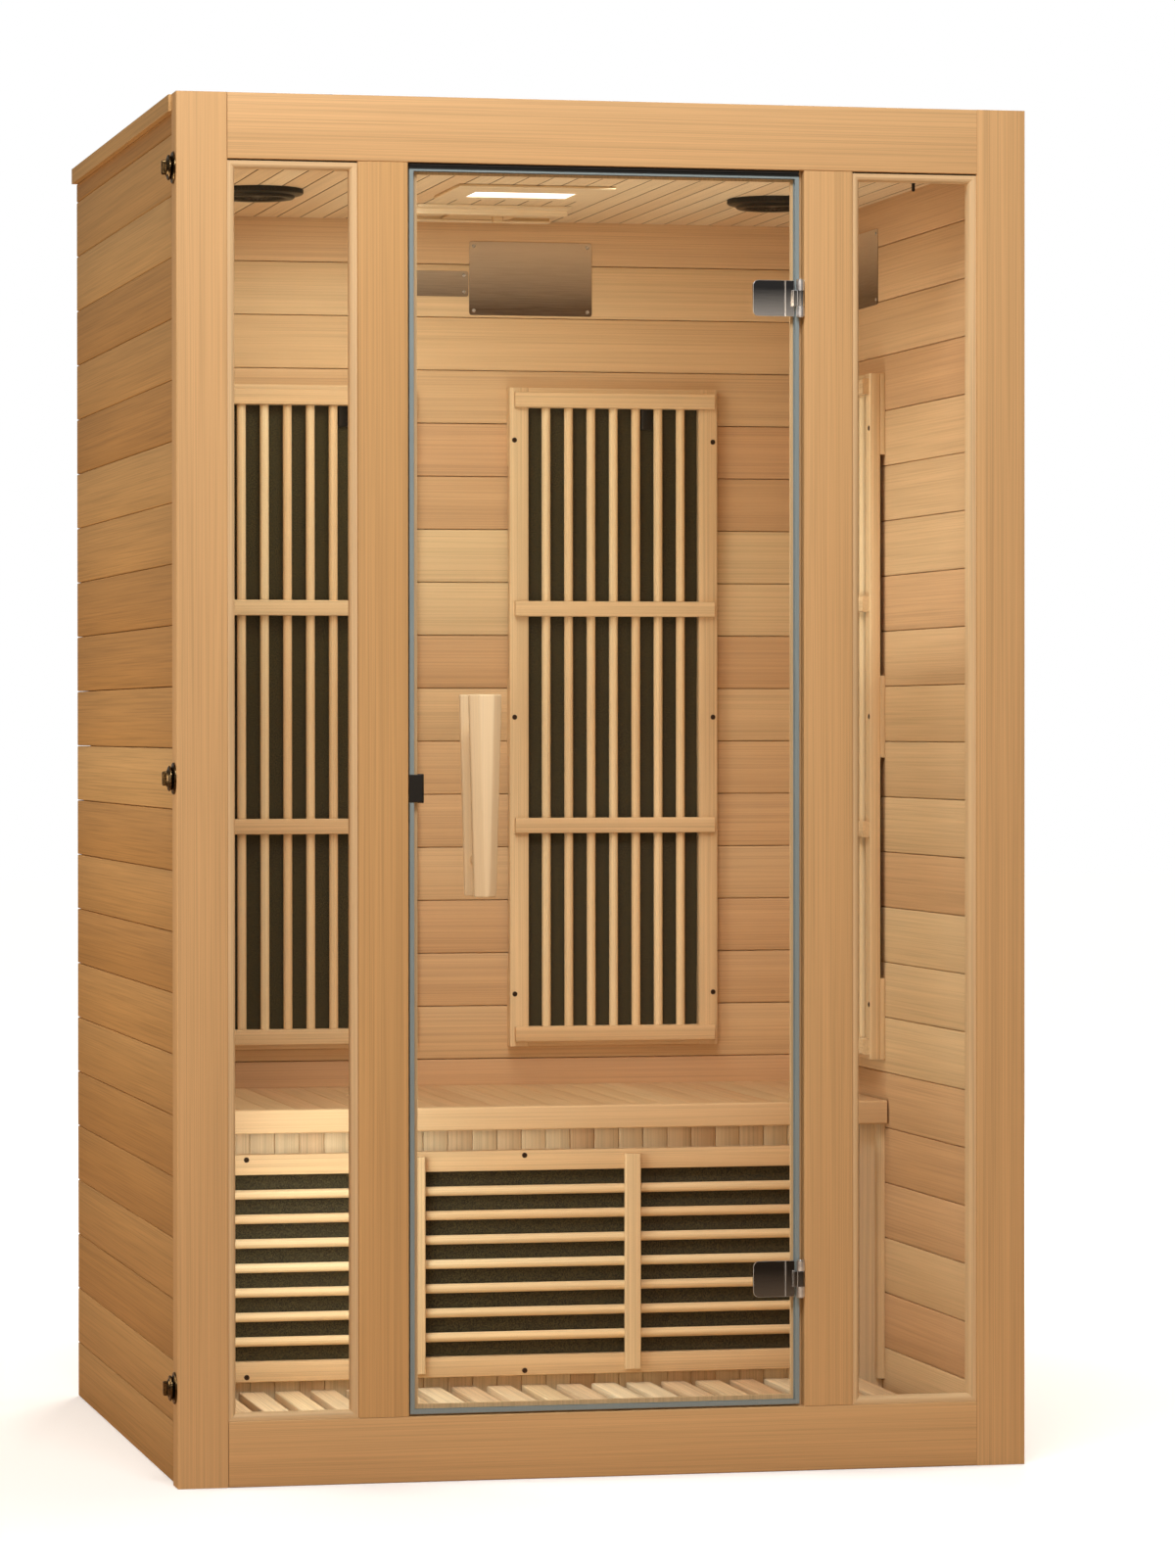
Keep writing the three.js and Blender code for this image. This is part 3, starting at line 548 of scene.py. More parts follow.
# Steel, polished and nickel plated: a grey mirror with a painted reflection, pale below and darker towards
# its upper edge; the upper hinge is painted lighter than the lower one.
HINGE_PAINTED_REFLECTION = {
    place: ShadedSheet(f"steel_nickel_plated_{place}", Axis.X, low, high, heights, 0.5, 1.0, 0.24)
    for place, heights, low, high in (
        ("upper", (1.610, 1.652), "#FFFFFF", "#56585C"), ("lower", (0.246, 0.288), "#808284", "#3E3F40")
    )
}
# The same plating on rounded edges, painted near white as a highlight where it catches the light.
HINGE_PAINTED_HIGHLIGHT = Speckled("steel_nickel_plated_rim", "#E4E6E8", "#FFFFFF", 8.0, 0.3, 0.45, 0.0)
# Steel, turned and nickel plated: the paler satin of the hinge knuckles and leaves.
KNUCKLE_STEEL = Speckled("steel_turned_nickel_plated", "#C4C6C9", "#F4F6F8", 12.0, 0.34, 0.85, 0.0)
# Stainless steel, brushed sheet: fine lines along its width, with a painted reflection, brown below and paler
# towards its upper edge.
PLATE_STEEL = {
    axis: ShadedSheet(f"stainless_brushed_sheet_{axis.name.lower()}", axis) for axis in (Axis.X, Axis.Y)
}
# Zinc casting, plated dark bronze: brown metal with bright worn edges.
BRONZE = Speckled("zinc_cast_bronze_plated", "#3A2D1C", "#7A6444", 3.0, 0.26, 1.0, 0.08)
# Screw steel, blackened: small dark heads.
SCREW = Speckled("screw_steel_blackened", "#2A1A0E", "#4A3220", 1.0, 0.5, 0.6, 0.05)
# Stainless screw steel, polished: small bright heads.
PLATE_SCREW = Speckled("screw_steel_polished", "#B8B4AC", "#E6E2DA", 4.0, 0.25, 0.7, 0.0)
# PVC edge channel, extruded: blue grey with cloudy streaks, and black at the head of the door: painted shade
# of the gap under the top rail.
SEAL = ShadedSheet("pvc_extruded_channel", Axis.Z, "#8E9EA3", "#101211", (1.8005, 1.8020), 1.6, 0.0, 0.3)
# Dull black, as extruded EPDM rubber: a painted shadow for the gap above the door.
DOOR_GAP_SHADE = Speckled("epdm_look_painted_shadow", "#0C0B0A", "#1A1815", 1.5, 0.75, 0.0, 0.1)
# Dull dark brown, as extruded butyl: a painted shadow for the gap above the window beads.
WINDOW_GAP_SHADE = Speckled("butyl_look_painted_shadow", "#20150C", "#36261A", 1.5, 0.8, 0.0, 0.1)
PANE = FloatGlass("float_glass_tempered")
LAMP = OpalLamp("acrylic_opal_lit")


def start_tree(name: str, inputs: dict[str, str]) -> tuple[Tree, Any]:
    """Starts a Geometry Nodes tree with named inputs and one geometry output.

    Args:
        name: its name.
        inputs: name to kind of socket of each input.

    Returns:
        The tree and the outputs of its group input.
    """
    tree = bpy.data.node_groups.new(name, "GeometryNodeTree")
    for label, kind in inputs.items():
        tree.interface.new_socket(label, in_out="INPUT", socket_type=f"NodeSocket{kind}")
    tree.interface.new_socket("Geometry", in_out="OUTPUT", socket_type="NodeSocketGeometry")
    return tree, tree.nodes.new("NodeGroupInput").outputs


def close_tree(tree: Tree, instances: Socket, material: Socket) -> None:
    """Ends a tree: real meshes with one material.

    Args:
        tree: the tree.
        instances: socket with the instances.
        material: socket with the material.
    """
    real = add_node(tree, "GeometryNodeRealizeInstances", {"Geometry": instances})
    dressed = add_node(tree, "GeometryNodeSetMaterial", {"Geometry": real.outputs[0], "Material": material})
    add_node(tree, "NodeGroupOutput", {0: dressed.outputs[0]})


class Trees:
    """The Geometry Nodes trees, each made on first use."""

    @cached_property
    def board_row(self) -> Tree:
        """Boards or dowels side by side: length along X, row along Y, thickness along Z, rounded long edges.

        Returns:
            The tree.
        """
        tree, given = start_tree("board_row", {
            "Count": "Int", "Pitch": "Float", "Width": "Float", "Thickness": "Float", "Length": "Float",
            "Edge": "Float", "Arc Steps": "Int", "Seed": "Int", "Material": "Material",
        })
        outline = add_node(
            tree, "GeometryNodeCurvePrimitiveQuadrilateral",
            {"Width": given["Width"], "Height": given["Thickness"]},
        )
        rounded = add_node(
            tree, "GeometryNodeFilletCurve",
            {"Curve": outline.outputs[0], "Radius": given["Edge"], "Count": given["Arc Steps"],
             "Limit Radius": True},
            mode="POLY",
        )
        ends = []
        for share in (-0.5, 0.5):
            x = add_node(tree, "ShaderNodeMath", {0: given["Length"], 1: share}, operation="MULTIPLY")
            ends.append(add_node(tree, "ShaderNodeCombineXYZ", {"X": x.outputs[0]}).outputs[0])
        path = add_node(tree, "GeometryNodeCurvePrimitiveLine", {"Start": ends[0], "End": ends[1]})
        board = add_node(
            tree, "GeometryNodeCurveToMesh",
            {"Curve": path.outputs[0], "Profile Curve": rounded.outputs[0], "Fill Caps": True},
        )
        gaps = add_node(tree, "ShaderNodeMath", {0: given["Count"], 1: 1.0}, operation="SUBTRACT").outputs[0]
        reach = add_node(tree, "ShaderNodeMath", {0: gaps, 1: given["Pitch"]}, operation="MULTIPLY")
        back = add_node(tree, "ShaderNodeMath", {0: reach.outputs[0], 1: -0.5}, operation="MULTIPLY")
        first = add_node(tree, "ShaderNodeCombineXYZ", {"Y": back.outputs[0]}).outputs[0]
        step = add_node(tree, "ShaderNodeCombineXYZ", {"Y": given["Pitch"]}).outputs[0]
        line = add_node(
            tree, "GeometryNodeMeshLine", {"Count": given["Count"], "Start Location": first, "Offset": step}
        )
        placed = add_node(
            tree, "GeometryNodeInstanceOnPoints", {"Points": line.outputs[0], "Instance": board.outputs[0]}
        )
        number = add_node(tree, "FunctionNodeRandomValue", {"Seed": given["Seed"]})
        numbered = add_node(
            tree, "GeometryNodeStoreNamedAttribute",
            {"Geometry": placed.outputs[0], "Name": "board", "Value": number.outputs[1]},
            domain="INSTANCE",
        )
        close_tree(tree, numbered.outputs[0], given["Material"])
        return tree

    @cached_property
    def screw_set(self) -> Tree:
        """Countersunk screw heads at the points of the object's own mesh: a raised rim round a sunk disc.

        Returns:
            The tree.
        """
        tree, given = start_tree("screw_set", {
            "Geometry": "Geometry", "Radius": "Float", "Rim": "Float", "Facing": "Rotation",
            "Material": "Material",
        })
        rings = [
            add_node(tree, "GeometryNodeCurvePrimitiveCircle", {"Resolution": steps, "Radius": given[radius]})
            for steps, radius in ((20, "Radius"), (6, "Rim"))
        ]
        rim = add_node(
            tree, "GeometryNodeCurveToMesh",
            {"Curve": rings[0].outputs[0], "Profile Curve": rings[1].outputs[0]},
        )
        disc = add_node(
            tree, "GeometryNodeMeshCircle", {"Vertices": 20, "Radius": given["Radius"]}, fill_type="NGON"
        )
        head = add_node(tree, "GeometryNodeJoinGeometry")
        for part in (rim, disc):
            tree.links.new(part.outputs[0], head.inputs[0])
        placed = add_node(
            tree, "GeometryNodeInstanceOnPoints",
            {"Points": given["Geometry"], "Instance": head.outputs[0], "Rotation": given["Facing"]},
        )
        close_tree(tree, placed.outputs[0], given["Material"])
        return tree

    @cached_property
    def rib_ring(self) -> Tree:
        """Short ribs set round a ring in the XY plane.

        Returns:
            The tree.
        """
        tree, given = start_tree("rib_ring", {
            "Count": "Int", "Radius": "Float", "Rib": "Vector", "Material": "Material",
        })
        ring = add_node(
            tree, "GeometryNodeMeshCircle", {"Vertices": given["Count"], "Radius": given["Radius"]}
        )
        rib = add_node(tree, "GeometryNodeMeshCube", {"Size": given["Rib"]})
        index = add_node(tree, "GeometryNodeInputIndex").outputs[0]
        share = add_node(tree, "ShaderNodeMath", {0: index, 1: given["Count"]}, operation="DIVIDE").outputs[0]
        turn = add_node(tree, "ShaderNodeMath", {0: share, 1: math.tau}, operation="MULTIPLY").outputs[0]
        euler = add_node(tree, "ShaderNodeCombineXYZ", {"Z": turn}).outputs[0]
        facing = add_node(tree, "FunctionNodeEulerToRotation", {0: euler}).outputs[0]
        placed = add_node(
            tree, "GeometryNodeInstanceOnPoints",
            {"Points": ring.outputs[0], "Instance": rib.outputs[0], "Rotation": facing},
        )
        close_tree(tree, placed.outputs[0], given["Material"])
        return tree


TREES = Trees()


def grow(tree: Tree, values: dict[str, Any], points: Iterable[Vector] = ()) -> Mesh:
    """Runs a Geometry Nodes tree once and keeps its result as a plain mesh.

    Args:
        tree: the tree.
        values: input name to value.
        points: points that the tree starts from, where it takes geometry.

    Returns:
        The mesh, with its materials.
    """
    seed_mesh = bpy.data.meshes.new("seed")
    seed_mesh.from_pydata([tuple(p) for p in points], [], [])
    holder = bpy.data.objects.new("seed", seed_mesh)
    bpy.context.scene.collection.objects.link(holder)
    modifier = holder.modifiers.new("grow", "NODES")
    modifier.node_group = tree
    for item in tree.interface.items_tree:
        if item.in_out == "INPUT" and item.name in values:
            modifier[item.identifier] = values[item.name]
    graph = bpy.context.evaluated_depsgraph_get()
    mesh = bpy.data.meshes.new_from_object(holder.evaluated_get(graph), preserve_all_data_layers=True,
                                           depsgraph=graph)
    holder.modifiers.remove(modifier)
    bpy.data.objects.remove(holder)
    bpy.data.meshes.remove(seed_mesh)
    return mesh


def turned_to(length: Axis, row: Axis, centre: Point) -> Matrix:
    """Matrix that lays a board row's X along one axis and its Y along another.

    Args:
        length: axis for the boards' length.
        row: axis that the row follows.
        centre: middle of the row.

    Returns:
        The matrix, a turn and a move.
    """
    side = length.unit.cross(row.unit)
    turn = Matrix((length.unit, row.unit, side)).transposed().to_4x4()
    return Matrix.Translation(Vector(centre)) @ turn


def boards(
    finish: Finish,
    length: Axis,
    row: Axis,
    low: Point,
    high: Point,
    count: int = 1,
    gap: float = 0.0,
    edge: float = 0.0015,
    arc: int = 2,
    seed: int = 0,
) -> Mesh:
    """A row of boards that fills a box.

    Args:
        finish: finish of the boards.
        length: axis of the boards' length.
        row: axis along which they follow each other.
        low: lowest corner of the box.
        high: highest corner of the box.
        count: number of boards.
        gap: free space between two boards.
        edge: radius of the long edges.
        arc: steps of the rounded edges.
        seed: seed of the boards' numbers.

    Returns:
        The mesh, in place.
    """
    size = [b - a for a, b in zip(low, high)]
    centre = [(a + b) / 2 for a, b in zip(low, high)]
    depth_axis = 3 - length.value - row.value
    pitch = (size[row.value] + gap) / count
    mesh = grow(TREES.board_row, {
        "Count": count, "Pitch": pitch, "Width": pitch - gap, "Thickness": size[depth_axis],
        "Length": size[length.value], "Edge": edge, "Arc Steps": arc, "Seed": seed,
        "Material": finish.material(),
    })
    mesh.transform(turned_to(length, row, centre))
    return mesh


def screws(
    places: Sequence[Point], facing: Axis, sign: int, finish: Finish, radius: float = 0.0033
) -> Mesh:
    """Screw heads at given places.

    Args:
        places: points on the surface.
        facing: axis that the heads face along.
        sign: 1 or -1, the way along that axis.
        finish: finish of the heads.
        radius: radius of a head.

    Returns:
        The mesh, in place.
    """
    turn = Vector((0, 0, 1)).rotation_difference(facing.unit * sign).to_euler()
    return grow(
        TREES.screw_set,
        {"Radius": radius, "Rim": 0.0007, "Facing": turn, "Material": finish.material()},
        [Vector(p) for p in places],
    )


def from_bmesh(shape: bmesh.types.BMesh, finishes: Sequence[Finish]) -> Mesh:
    """Turns a bmesh into a mesh with outward faces.

    Args:
        shape: the bmesh, freed here.
        finishes: finishes in the order of the faces' material numbers.

    Returns:
        The mesh.
    """
    bmesh.ops.remove_doubles(shape, verts=shape.verts[:], dist=1e-6)
    bmesh.ops.recalc_face_normals(shape, faces=shape.faces[:])
    for face in shape.faces:
        face.smooth = False
    mesh = bpy.data.meshes.new("shape")
    shape.to_mesh(mesh)
    shape.free()
    for finish in finishes:
        mesh.materials.append(finish.material())
    return mesh


def turned(profile: Sequence[Span], finish: Finish, place: Matrix, segments: int = 40) -> Mesh:
    """A shape turned round the local Z axis from a profile of radius and height.

    Args:
        profile: points from the axis, round the outside, back to the axis.
        finish: finish.
        place: matrix that puts it in the row frame.
        segments: steps round the axis.

    Returns:
        The mesh, in place.
    """
    shape = bmesh.new()
    rings = []
    for radius, height in profile:
        if radius == 0.0:
            rings.append([shape.verts.new((0.0, 0.0, height))])
            continue
        angles = [math.tau * i / segments for i in range(segments)]
        rings.append([shape.verts.new((radius * math.cos(a), radius * math.sin(a), height)) for a in angles])
    for low, high in zip(rings, rings[1:]):
        for i in range(segments):
            j = (i + 1) % segments
            corners = [low[i % len(low)], low[j % len(low)], high[j % len(high)], high[i % len(high)]]
            unique = list(dict.fromkeys(corners))
            if len(unique) > 2:
                shape.faces.new(unique)
    bmesh.ops.transform(shape, matrix=place, verts=shape.verts[:])
    return from_bmesh(shape, [finish])


def mitred(x: Span, z: Span, profile: Sequence[Span], upright: Finish, level: Finish) -> Mesh:
    """A mitred moulding round a rectangle in the XZ plane.

    Args:
        x: left and right edge of the rectangle.
        z: lower and upper edge.
        profile: closed list of points, inset from the edge and place along Y.
        upright: finish of the two uprights.
        level: finish of the two level sides.

    Returns:
        The mesh.
    """
    shape = bmesh.new()
    corners = [(0, 0), (1, 0), (1, 1), (0, 1)]
    rings = [
        [
            shape.verts.new((x[1] - inset if i else x[0] + inset, y, z[1] - inset if j else z[0] + inset))
            for inset, y in profile
        ]
        for i, j in corners
    ]
    for side, here in enumerate(rings):
        after = rings[(side + 1) % 4]
        for k in range(len(profile)):
            m = (k + 1) % len(profile)
            face = shape.faces.new((here[k], after[k], after[m], here[m]))
            face.material_index = 0 if side % 2 else 1
    return from_bmesh(shape, [upright, level])


def eased(mesh: Mesh, radius: float, segments: int = 2, angle: float = 30.0, rim: int = -1) -> Mesh:
    """Rounds the sharp edges of a closed mesh.

    Args:
        mesh: mesh with its materials.
        radius: radius of the rounding.
        segments: steps of the rounding.
        angle: smallest edge angle that is rounded, in degrees.
        rim: material number of the rounded edges, or -1 for that of their faces.

    Returns:
        A new mesh.
    """
    holder = bpy.data.objects.new("ease", mesh)
    bpy.context.scene.collection.objects.link(holder)
    bevel = holder.modifiers.new("ease", "BEVEL")
    bevel.width = radius
    bevel.segments = segments
    bevel.limit_method = "ANGLE"
    bevel.angle_limit = math.radians(angle)
    bevel.material = rim
    graph = bpy.context.evaluated_depsgraph_get()
    result = bpy.data.meshes.new_from_object(holder.evaluated_get(graph), depsgraph=graph)
    holder.modifiers.remove(bevel)
    bpy.data.objects.remove(holder)
    return result


def softened(
    node: str, finish: Finish, radius: float, segments: int = 2, rim: Finish | None = None
) -> Mesh:
    """A copy of a solid with its edges eased.

    Args:
        node: name of the solid.
        finish: finish of the copy.
        radius: radius of the edges.
        segments: steps of the rounding.
        rim: finish of the rounded edges, where they have their own.

    Returns:
        The mesh.
    """
    shape = bmesh.new()
    shape.from_mesh(bpy.data.objects[node].data)
    bmesh.ops.remove_doubles(shape, verts=shape.verts[:], dist=2e-6)
    bmesh.ops.dissolve_limit(shape, angle_limit=FLAT, verts=shape.verts[:], edges=shape.edges[:])
    if rim is None:
        return eased(from_bmesh(shape, [finish]), radius, segments)
    return eased(from_bmesh(shape, [finish, rim]), radius, segments, rim=1)


def piece(
    name: str,
    meshes: Sequence[Mesh],
    replaces: Sequence[str] = (),
    body: str = Body.CABIN.value,
) -> None:
    """Joins meshes into one finished piece that rides on a body.

    Args:
        name: name of the piece.
        meshes: meshes in place, in the row frame.
        replaces: solids that it stands for.
        body: body that it rides on.
    """
    objects = []
    for mesh in meshes:
        part = bpy.data.objects.new(name, mesh)
        bpy.context.scene.collection.objects.link(part)
        objects.append(part)
    main_object = objects[0]
    if len(objects) > 1:
        with bpy.context.temp_override(
            active_object=main_object, object=main_object,
            selected_objects=objects, selected_editable_objects=objects,
        ):
            bpy.ops.object.join()
    main_object.name = name
    main_object.data.name = name
    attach(main_object, body)
    if replaces:
        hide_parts(*replaces)
    LOG.info("%s: %d faces on %s", name, len(main_object.data.polygons), body)


def dress(node: str, finish: Finish) -> None:
    """Gives a solid that stays in view its finish.

    Args:
        node: name of the solid.
        finish: its finish.
    """
    mesh = bpy.data.objects[node].data
    if not mesh.materials:
        mesh.materials.append(finish.material())
    for i in range(len(mesh.materials)):
        mesh.materials[i] = finish.material()
    LOG.info("%s: solid in %s", node, finish.name)


def shrunk(low: Point, high: Point, axis: Axis, span: Span) -> tuple[list[float], list[float]]:
    """The same box with another span along one axis.

    Args:
        low: lowest corner.
        high: highest corner.
        axis: axis to change.
        span: new lower and upper limit.

    Returns:
        New lowest and highest corner.
    """
    new_low, new_high = list(low), list(high)
    new_low[axis.value], new_high[axis.value] = span
    return new_low, new_high


@dataclass
class Shell:
    """Walls, roof, floor and front frame.

    Attributes:
        outer_pitch: height of an outer board.
        inner_pitch: height of an inner board.
        inner_top_joint: height of the highest inner joint.
        inner_count: inner boards under that joint.
        groove: radius of the boards' eased edges, which makes the V-joint.
        seam: open seam at the bottom of a V-joint.
        slat_count: slats of the floor.
        slat_gap: free space between two slats.
        slat_thickness: thickness of a slat.
        batten: width of the battens under the slats.
        batten_inset: place of the outer battens from the slats' ends.
        batten_short: how far the battens end short of the outer slats.
    """

    outer_pitch: float = 0.084
    inner_pitch: float = 0.0828
    inner_top_joint: float = 1.7594
    inner_count: int = 21
    groove: float = 0.0016
    seam: float = 0.0009
    slat_count: int = 20
    slat_gap: float = 0.016
    slat_thickness: float = 0.02
    batten: float = 0.03
    batten_inset: float = 0.04
    batten_short: float = 0.001

    def wall(self, node: str, length: Axis, outward: int, seed: int) -> None:
        """Builds a wall of two layers of level boards.

        Args:
            node: the wall's solid.
            length: axis of the boards.
            outward: 1 if the outside is towards the higher coordinate, or -1.
            seed: seed of the boards' numbers.
        """
        low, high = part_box(node)
        depth = Axis.Y if length is Axis.X else Axis.X
        middle = (low[depth.value] + high[depth.value]) / 2
        lower_half = (low[depth.value], middle)
        upper_half = (middle, high[depth.value])
        outside = shrunk(low, high, depth, upper_half if outward > 0 else lower_half)
        inside = shrunk(low, high, depth, lower_half if outward > 0 else upper_half)
        top = high[2]
        count = int(top / self.outer_pitch)
        last = count * self.outer_pitch
        bottom = self.inner_top_joint - self.inner_count * self.inner_pitch
        rows = [
            (OUTER_WOOD[length], outside, (low[2], last), count),
            (OUTER_WOOD[length], outside, (last + self.seam, top), 1),
            (INNER_WOOD[length], inside, (bottom, self.inner_top_joint), self.inner_count),
            (INNER_WOOD[length], inside, (self.inner_top_joint + self.seam, top), 1),
            (INNER_WOOD[length], inside, (low[2], bottom - self.seam), 1),
        ]
        meshes = [
            boards(finish, length, Axis.Z, *shrunk(*layer, Axis.Z, span), count=n, gap=self.seam,
                   edge=self.groove, seed=seed + i)
            for i, (finish, layer, span, n) in enumerate(rows)
        ]
        piece(f"{node}_boards", meshes, [node])

    def front_member(self, node: str, grain: Axis, seed: int) -> None:
        """Builds one piece of the front frame as a planed board with eased edges.

        Args:
            node: its solid.
            grain: axis of its length.
            seed: seed of its tone.
        """
        low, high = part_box(node)
        row = Axis.Z if grain is Axis.X else Axis.X
        mesh = boards(FRAME_WOOD[grain], grain, row, low, high, edge=self.groove, arc=3, seed=seed)
        piece(f"{node}_planed", [mesh], [node])

    def slats(self) -> None:
        """Builds the floor's slats and their battens."""
        low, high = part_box("floor_slats")
        under = high[2] - self.slat_thickness
        meshes = [boards(SLAT_WOOD, Axis.Y, Axis.X, (low[0], low[1], under), high, count=self.slat_count,
                         gap=self.slat_gap, edge=0.002, arc=3, seed=41)]
        half = self.batten / 2
        for y in (low[1] + self.batten_inset, (low[1] + high[1]) / 2, high[1] - self.batten_inset):
            meshes.append(boards(
                INNER_WOOD[Axis.X], Axis.X, Axis.Y,
                (low[0] + self.batten_short, y - half, low[2]),
                (high[0] - self.batten_short, y + half, under), seed=42,
            ))
        piece("floor_slat_boards", meshes, ["floor_slats"])

    def build(self) -> None:
        """Builds and dresses the whole shell."""
        self.wall("left_wall", Axis.Y, -1, 11)
        self.wall("right_wall", Axis.Y, 1, 21)
        self.wall("back_wall", Axis.X, 1, 31)
        for seed, (node, grain) in enumerate((
            ("front_stile_left", Axis.Z), ("front_stile_right", Axis.Z),
            ("front_mullion_left", Axis.Z), ("front_mullion_right", Axis.Z),
            ("front_top_rail", Axis.X), ("front_bottom_rail", Axis.X),
        )):
            self.front_member(node, grain, 51 + seed)
        self.slats()
        dress("floor_base", BASE_WOOD)
        dress("roof_panel", CEILING_WOOD)
        dress("roof_cap", CAP_WOOD)
        dress("power_unit", GREY_ABS)


@dataclass
class Windows:
    """Fixed panes with their quarter-round beads.

    Attributes:
        width: width of the bead.
        flat: its flat edge before the rounding.
        back_width: width behind the pane.
        web: thickness beside the pane.
        arc: steps of the rounding.
        bead_shadow: height of the dull dark brown strip above the bead, a painted shadow of the gap under the
            rail.
    """

    width: float = 0.0105
    flat: float = 0.003
    back_width: float = 0.008
    web: float = 0.003
    arc: int = 10
    bead_shadow: float = 0.002

    def bead(self, side: str) -> None:
        """Builds one bead ring.

        Args:
            side: left or right.
        """
        node = f"window_bead_{side}"
        low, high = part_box(node)
        pane_low, pane_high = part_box(f"window_glass_{side}")
        reach = self.width - self.flat
        centre = low[1] + reach
        angles = [math.pi / 2 * i / self.arc for i in range(self.arc + 1)]
        rounding = [(self.flat + reach * math.sin(a), centre - reach * math.cos(a)) for a in angles]
        profile = [
            (0.0, low[1]), *rounding, (self.width, pane_low[1] - CLEAR), (self.web, pane_low[1] - CLEAR),
            (self.web, pane_high[1] + CLEAR), (self.back_width, pane_high[1] + CLEAR),
            (self.back_width, high[1]), (0.0, high[1]),
        ]
        # The bead stops short of the rail, and a dull dark brown strip fills the gap: a painted shadow.
        head = high[2] - self.bead_shadow
        mesh = mitred((low[0], high[0]), (low[2], head), profile, TRIM_WOOD[Axis.Z], TRIM_WOOD[Axis.X])
        bead_shadow = boards(WINDOW_GAP_SHADE, Axis.X, Axis.Z, (low[0], low[1] + self.bead_shadow, head), high, edge=0.0002)
        piece(f"{node}_moulding", [mesh, bead_shadow], [node])

    def build(self) -> None:
        """Builds both windows."""
        for side in ("left", "right"):
            self.bead(side)
            dress(f"window_glass_{side}", PANE)


@dataclass
class Door:
    """Glass door with its seal, stop, hinges, catch and pull handles.

    Attributes:
        grip_top: width of a handle at the top.
        grip_bottom: its width at the bottom.
        grip_depth: its depth.
        facet: width of its cut facets.
        round_over: radius of its edges.
        spacer_radius: radius of the spacers between grip and glass.
        spacer_sink: how far they reach into the grip.
        bolt_spacing: distance between the two spacers.
        shadow_strip_gap: room between the door's seal and the dull black strip of painted shadow above it.
        shadow_strip_inset: how far the strip lies inside the seal's depth.
        clamp_edge: radius of the hinge clamps' edges.
        knuckle_edge: radius of the edges of leaves and pins.
        strike_edge: radius of the strike plate's edges.
        magnet_edge: radius of the magnetic catch's edges.
    """

    grip_top: float = 0.046
    grip_bottom: float = 0.031
    grip_depth: float = 0.022
    facet: float = 0.013
    round_over: float = 0.0045
    spacer_radius: float = 0.009
    spacer_sink: float = 0.004
    bolt_spacing: float = 0.178
    shadow_strip_gap: float = 0.0008
    shadow_strip_inset: float = 0.0005
    clamp_edge: float = 0.0011
    knuckle_edge: float = 0.0004
    strike_edge: float = 0.0008
    magnet_edge: float = 0.001

    def grip(self, node: str, outward: int) -> None:
        """Builds one pull handle: a tapered bar with broad facets on two spacers.

        Args:
            node: its solid.
            outward: -1 for the outer handle and 1 for the inner one.
        """
        low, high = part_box(node)
        glass_low, glass_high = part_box("door_glass")
        centre_x = (low[0] + high[0]) / 2
        middle = (low[2] + high[2]) / 2
        outer = low[1] if outward < 0 else high[1]
        back = outer - outward * self.grip_depth
        shoulder = outer - outward * self.facet
        glass = glass_low[1] if outward < 0 else glass_high[1]
        shape = bmesh.new()
        for z, width in ((high[2], self.grip_top), (low[2], self.grip_bottom)):
            for side in (-1, 1):
                for inset, y in ((0.0, back), (0.0, shoulder), (self.facet, outer)):
                    shape.verts.new((centre_x + side * (width / 2 - inset), y, z))
        bmesh.ops.convex_hull(shape, input=shape.verts[:])
        bmesh.ops.dissolve_limit(shape, angle_limit=FLAT, verts=shape.verts[:], edges=shape.edges[:])
        bar = eased(from_bmesh(shape, [HANDLE_WOOD]), self.round_over, 4, 20.0)
        for face in bar.polygons:
            face.use_smooth = True
        spacers = []
        for end in (-1, 1):
            place = Matrix.Translation((centre_x, 0.0, middle + end * self.bolt_spacing / 2))
            turn = Matrix.Rotation(math.pi / 2, 4, "X")
            near, far = sorted((-glass - outward * CLEAR, -back - outward * self.spacer_sink))
            radius = self.spacer_radius
            profile = [(0.0, near), (radius, near), (radius, far), (0.0, far)]
            spacers.append(turned(profile, HANDLE_WOOD, place @ turn, 28))
        piece(f"{node}_wood", [bar, *spacers], [node], Body.DOOR.value)

    def painted_shadow_strip(self) -> None:
        """Builds the dull black strip under the top rail, a painted shadow in the gap above the door."""
        low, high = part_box("door_edge_seal")
        under_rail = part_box("front_top_rail")[0][2]
        inset = self.shadow_strip_inset
        strip = boards(DOOR_GAP_SHADE, Axis.X, Axis.Z, (low[0], low[1] + inset, high[2] + self.shadow_strip_gap),
                       (high[0], high[1] - inset, under_rail + CLEAR), edge=0.0004)
        piece("door_head_shadow_strip", [strip])

    def build(self) -> None:
        """Builds and dresses the door and what it closes against."""
        dress("door_glass", PANE)
        dress("door_edge_seal", SEAL)
        dress("door_stop", TRIM_WOOD[Axis.Z])
        self.grip("door_handle_outer", -1)
        self.grip("door_handle_inner", 1)
        for place in ("upper", "lower"):
            node = f"hinge_clamp_{place}"
            clamp = softened(node, HINGE_PAINTED_REFLECTION[place], self.clamp_edge, 3, HINGE_PAINTED_HIGHLIGHT)
            piece(f"{node}_plated", [clamp], [node], Body.DOOR.value)
            for node in (f"hinge_leaf_{place}", f"hinge_pin_{place}"):
                knuckle = softened(node, KNUCKLE_STEEL, self.knuckle_edge)
                piece(f"{node}_plated", [knuckle], [node])
        strike = softened("door_strike_plate", BLACK_ABS, self.strike_edge)
        piece("door_strike_moulding", [strike], ["door_strike_plate"], Body.DOOR.value)
        self.painted_shadow_strip()
        magnet = softened("magnet_catch", BLACK_ABS, self.magnet_edge)
        piece("magnet_catch_moulding", [magnet], ["magnet_catch"])


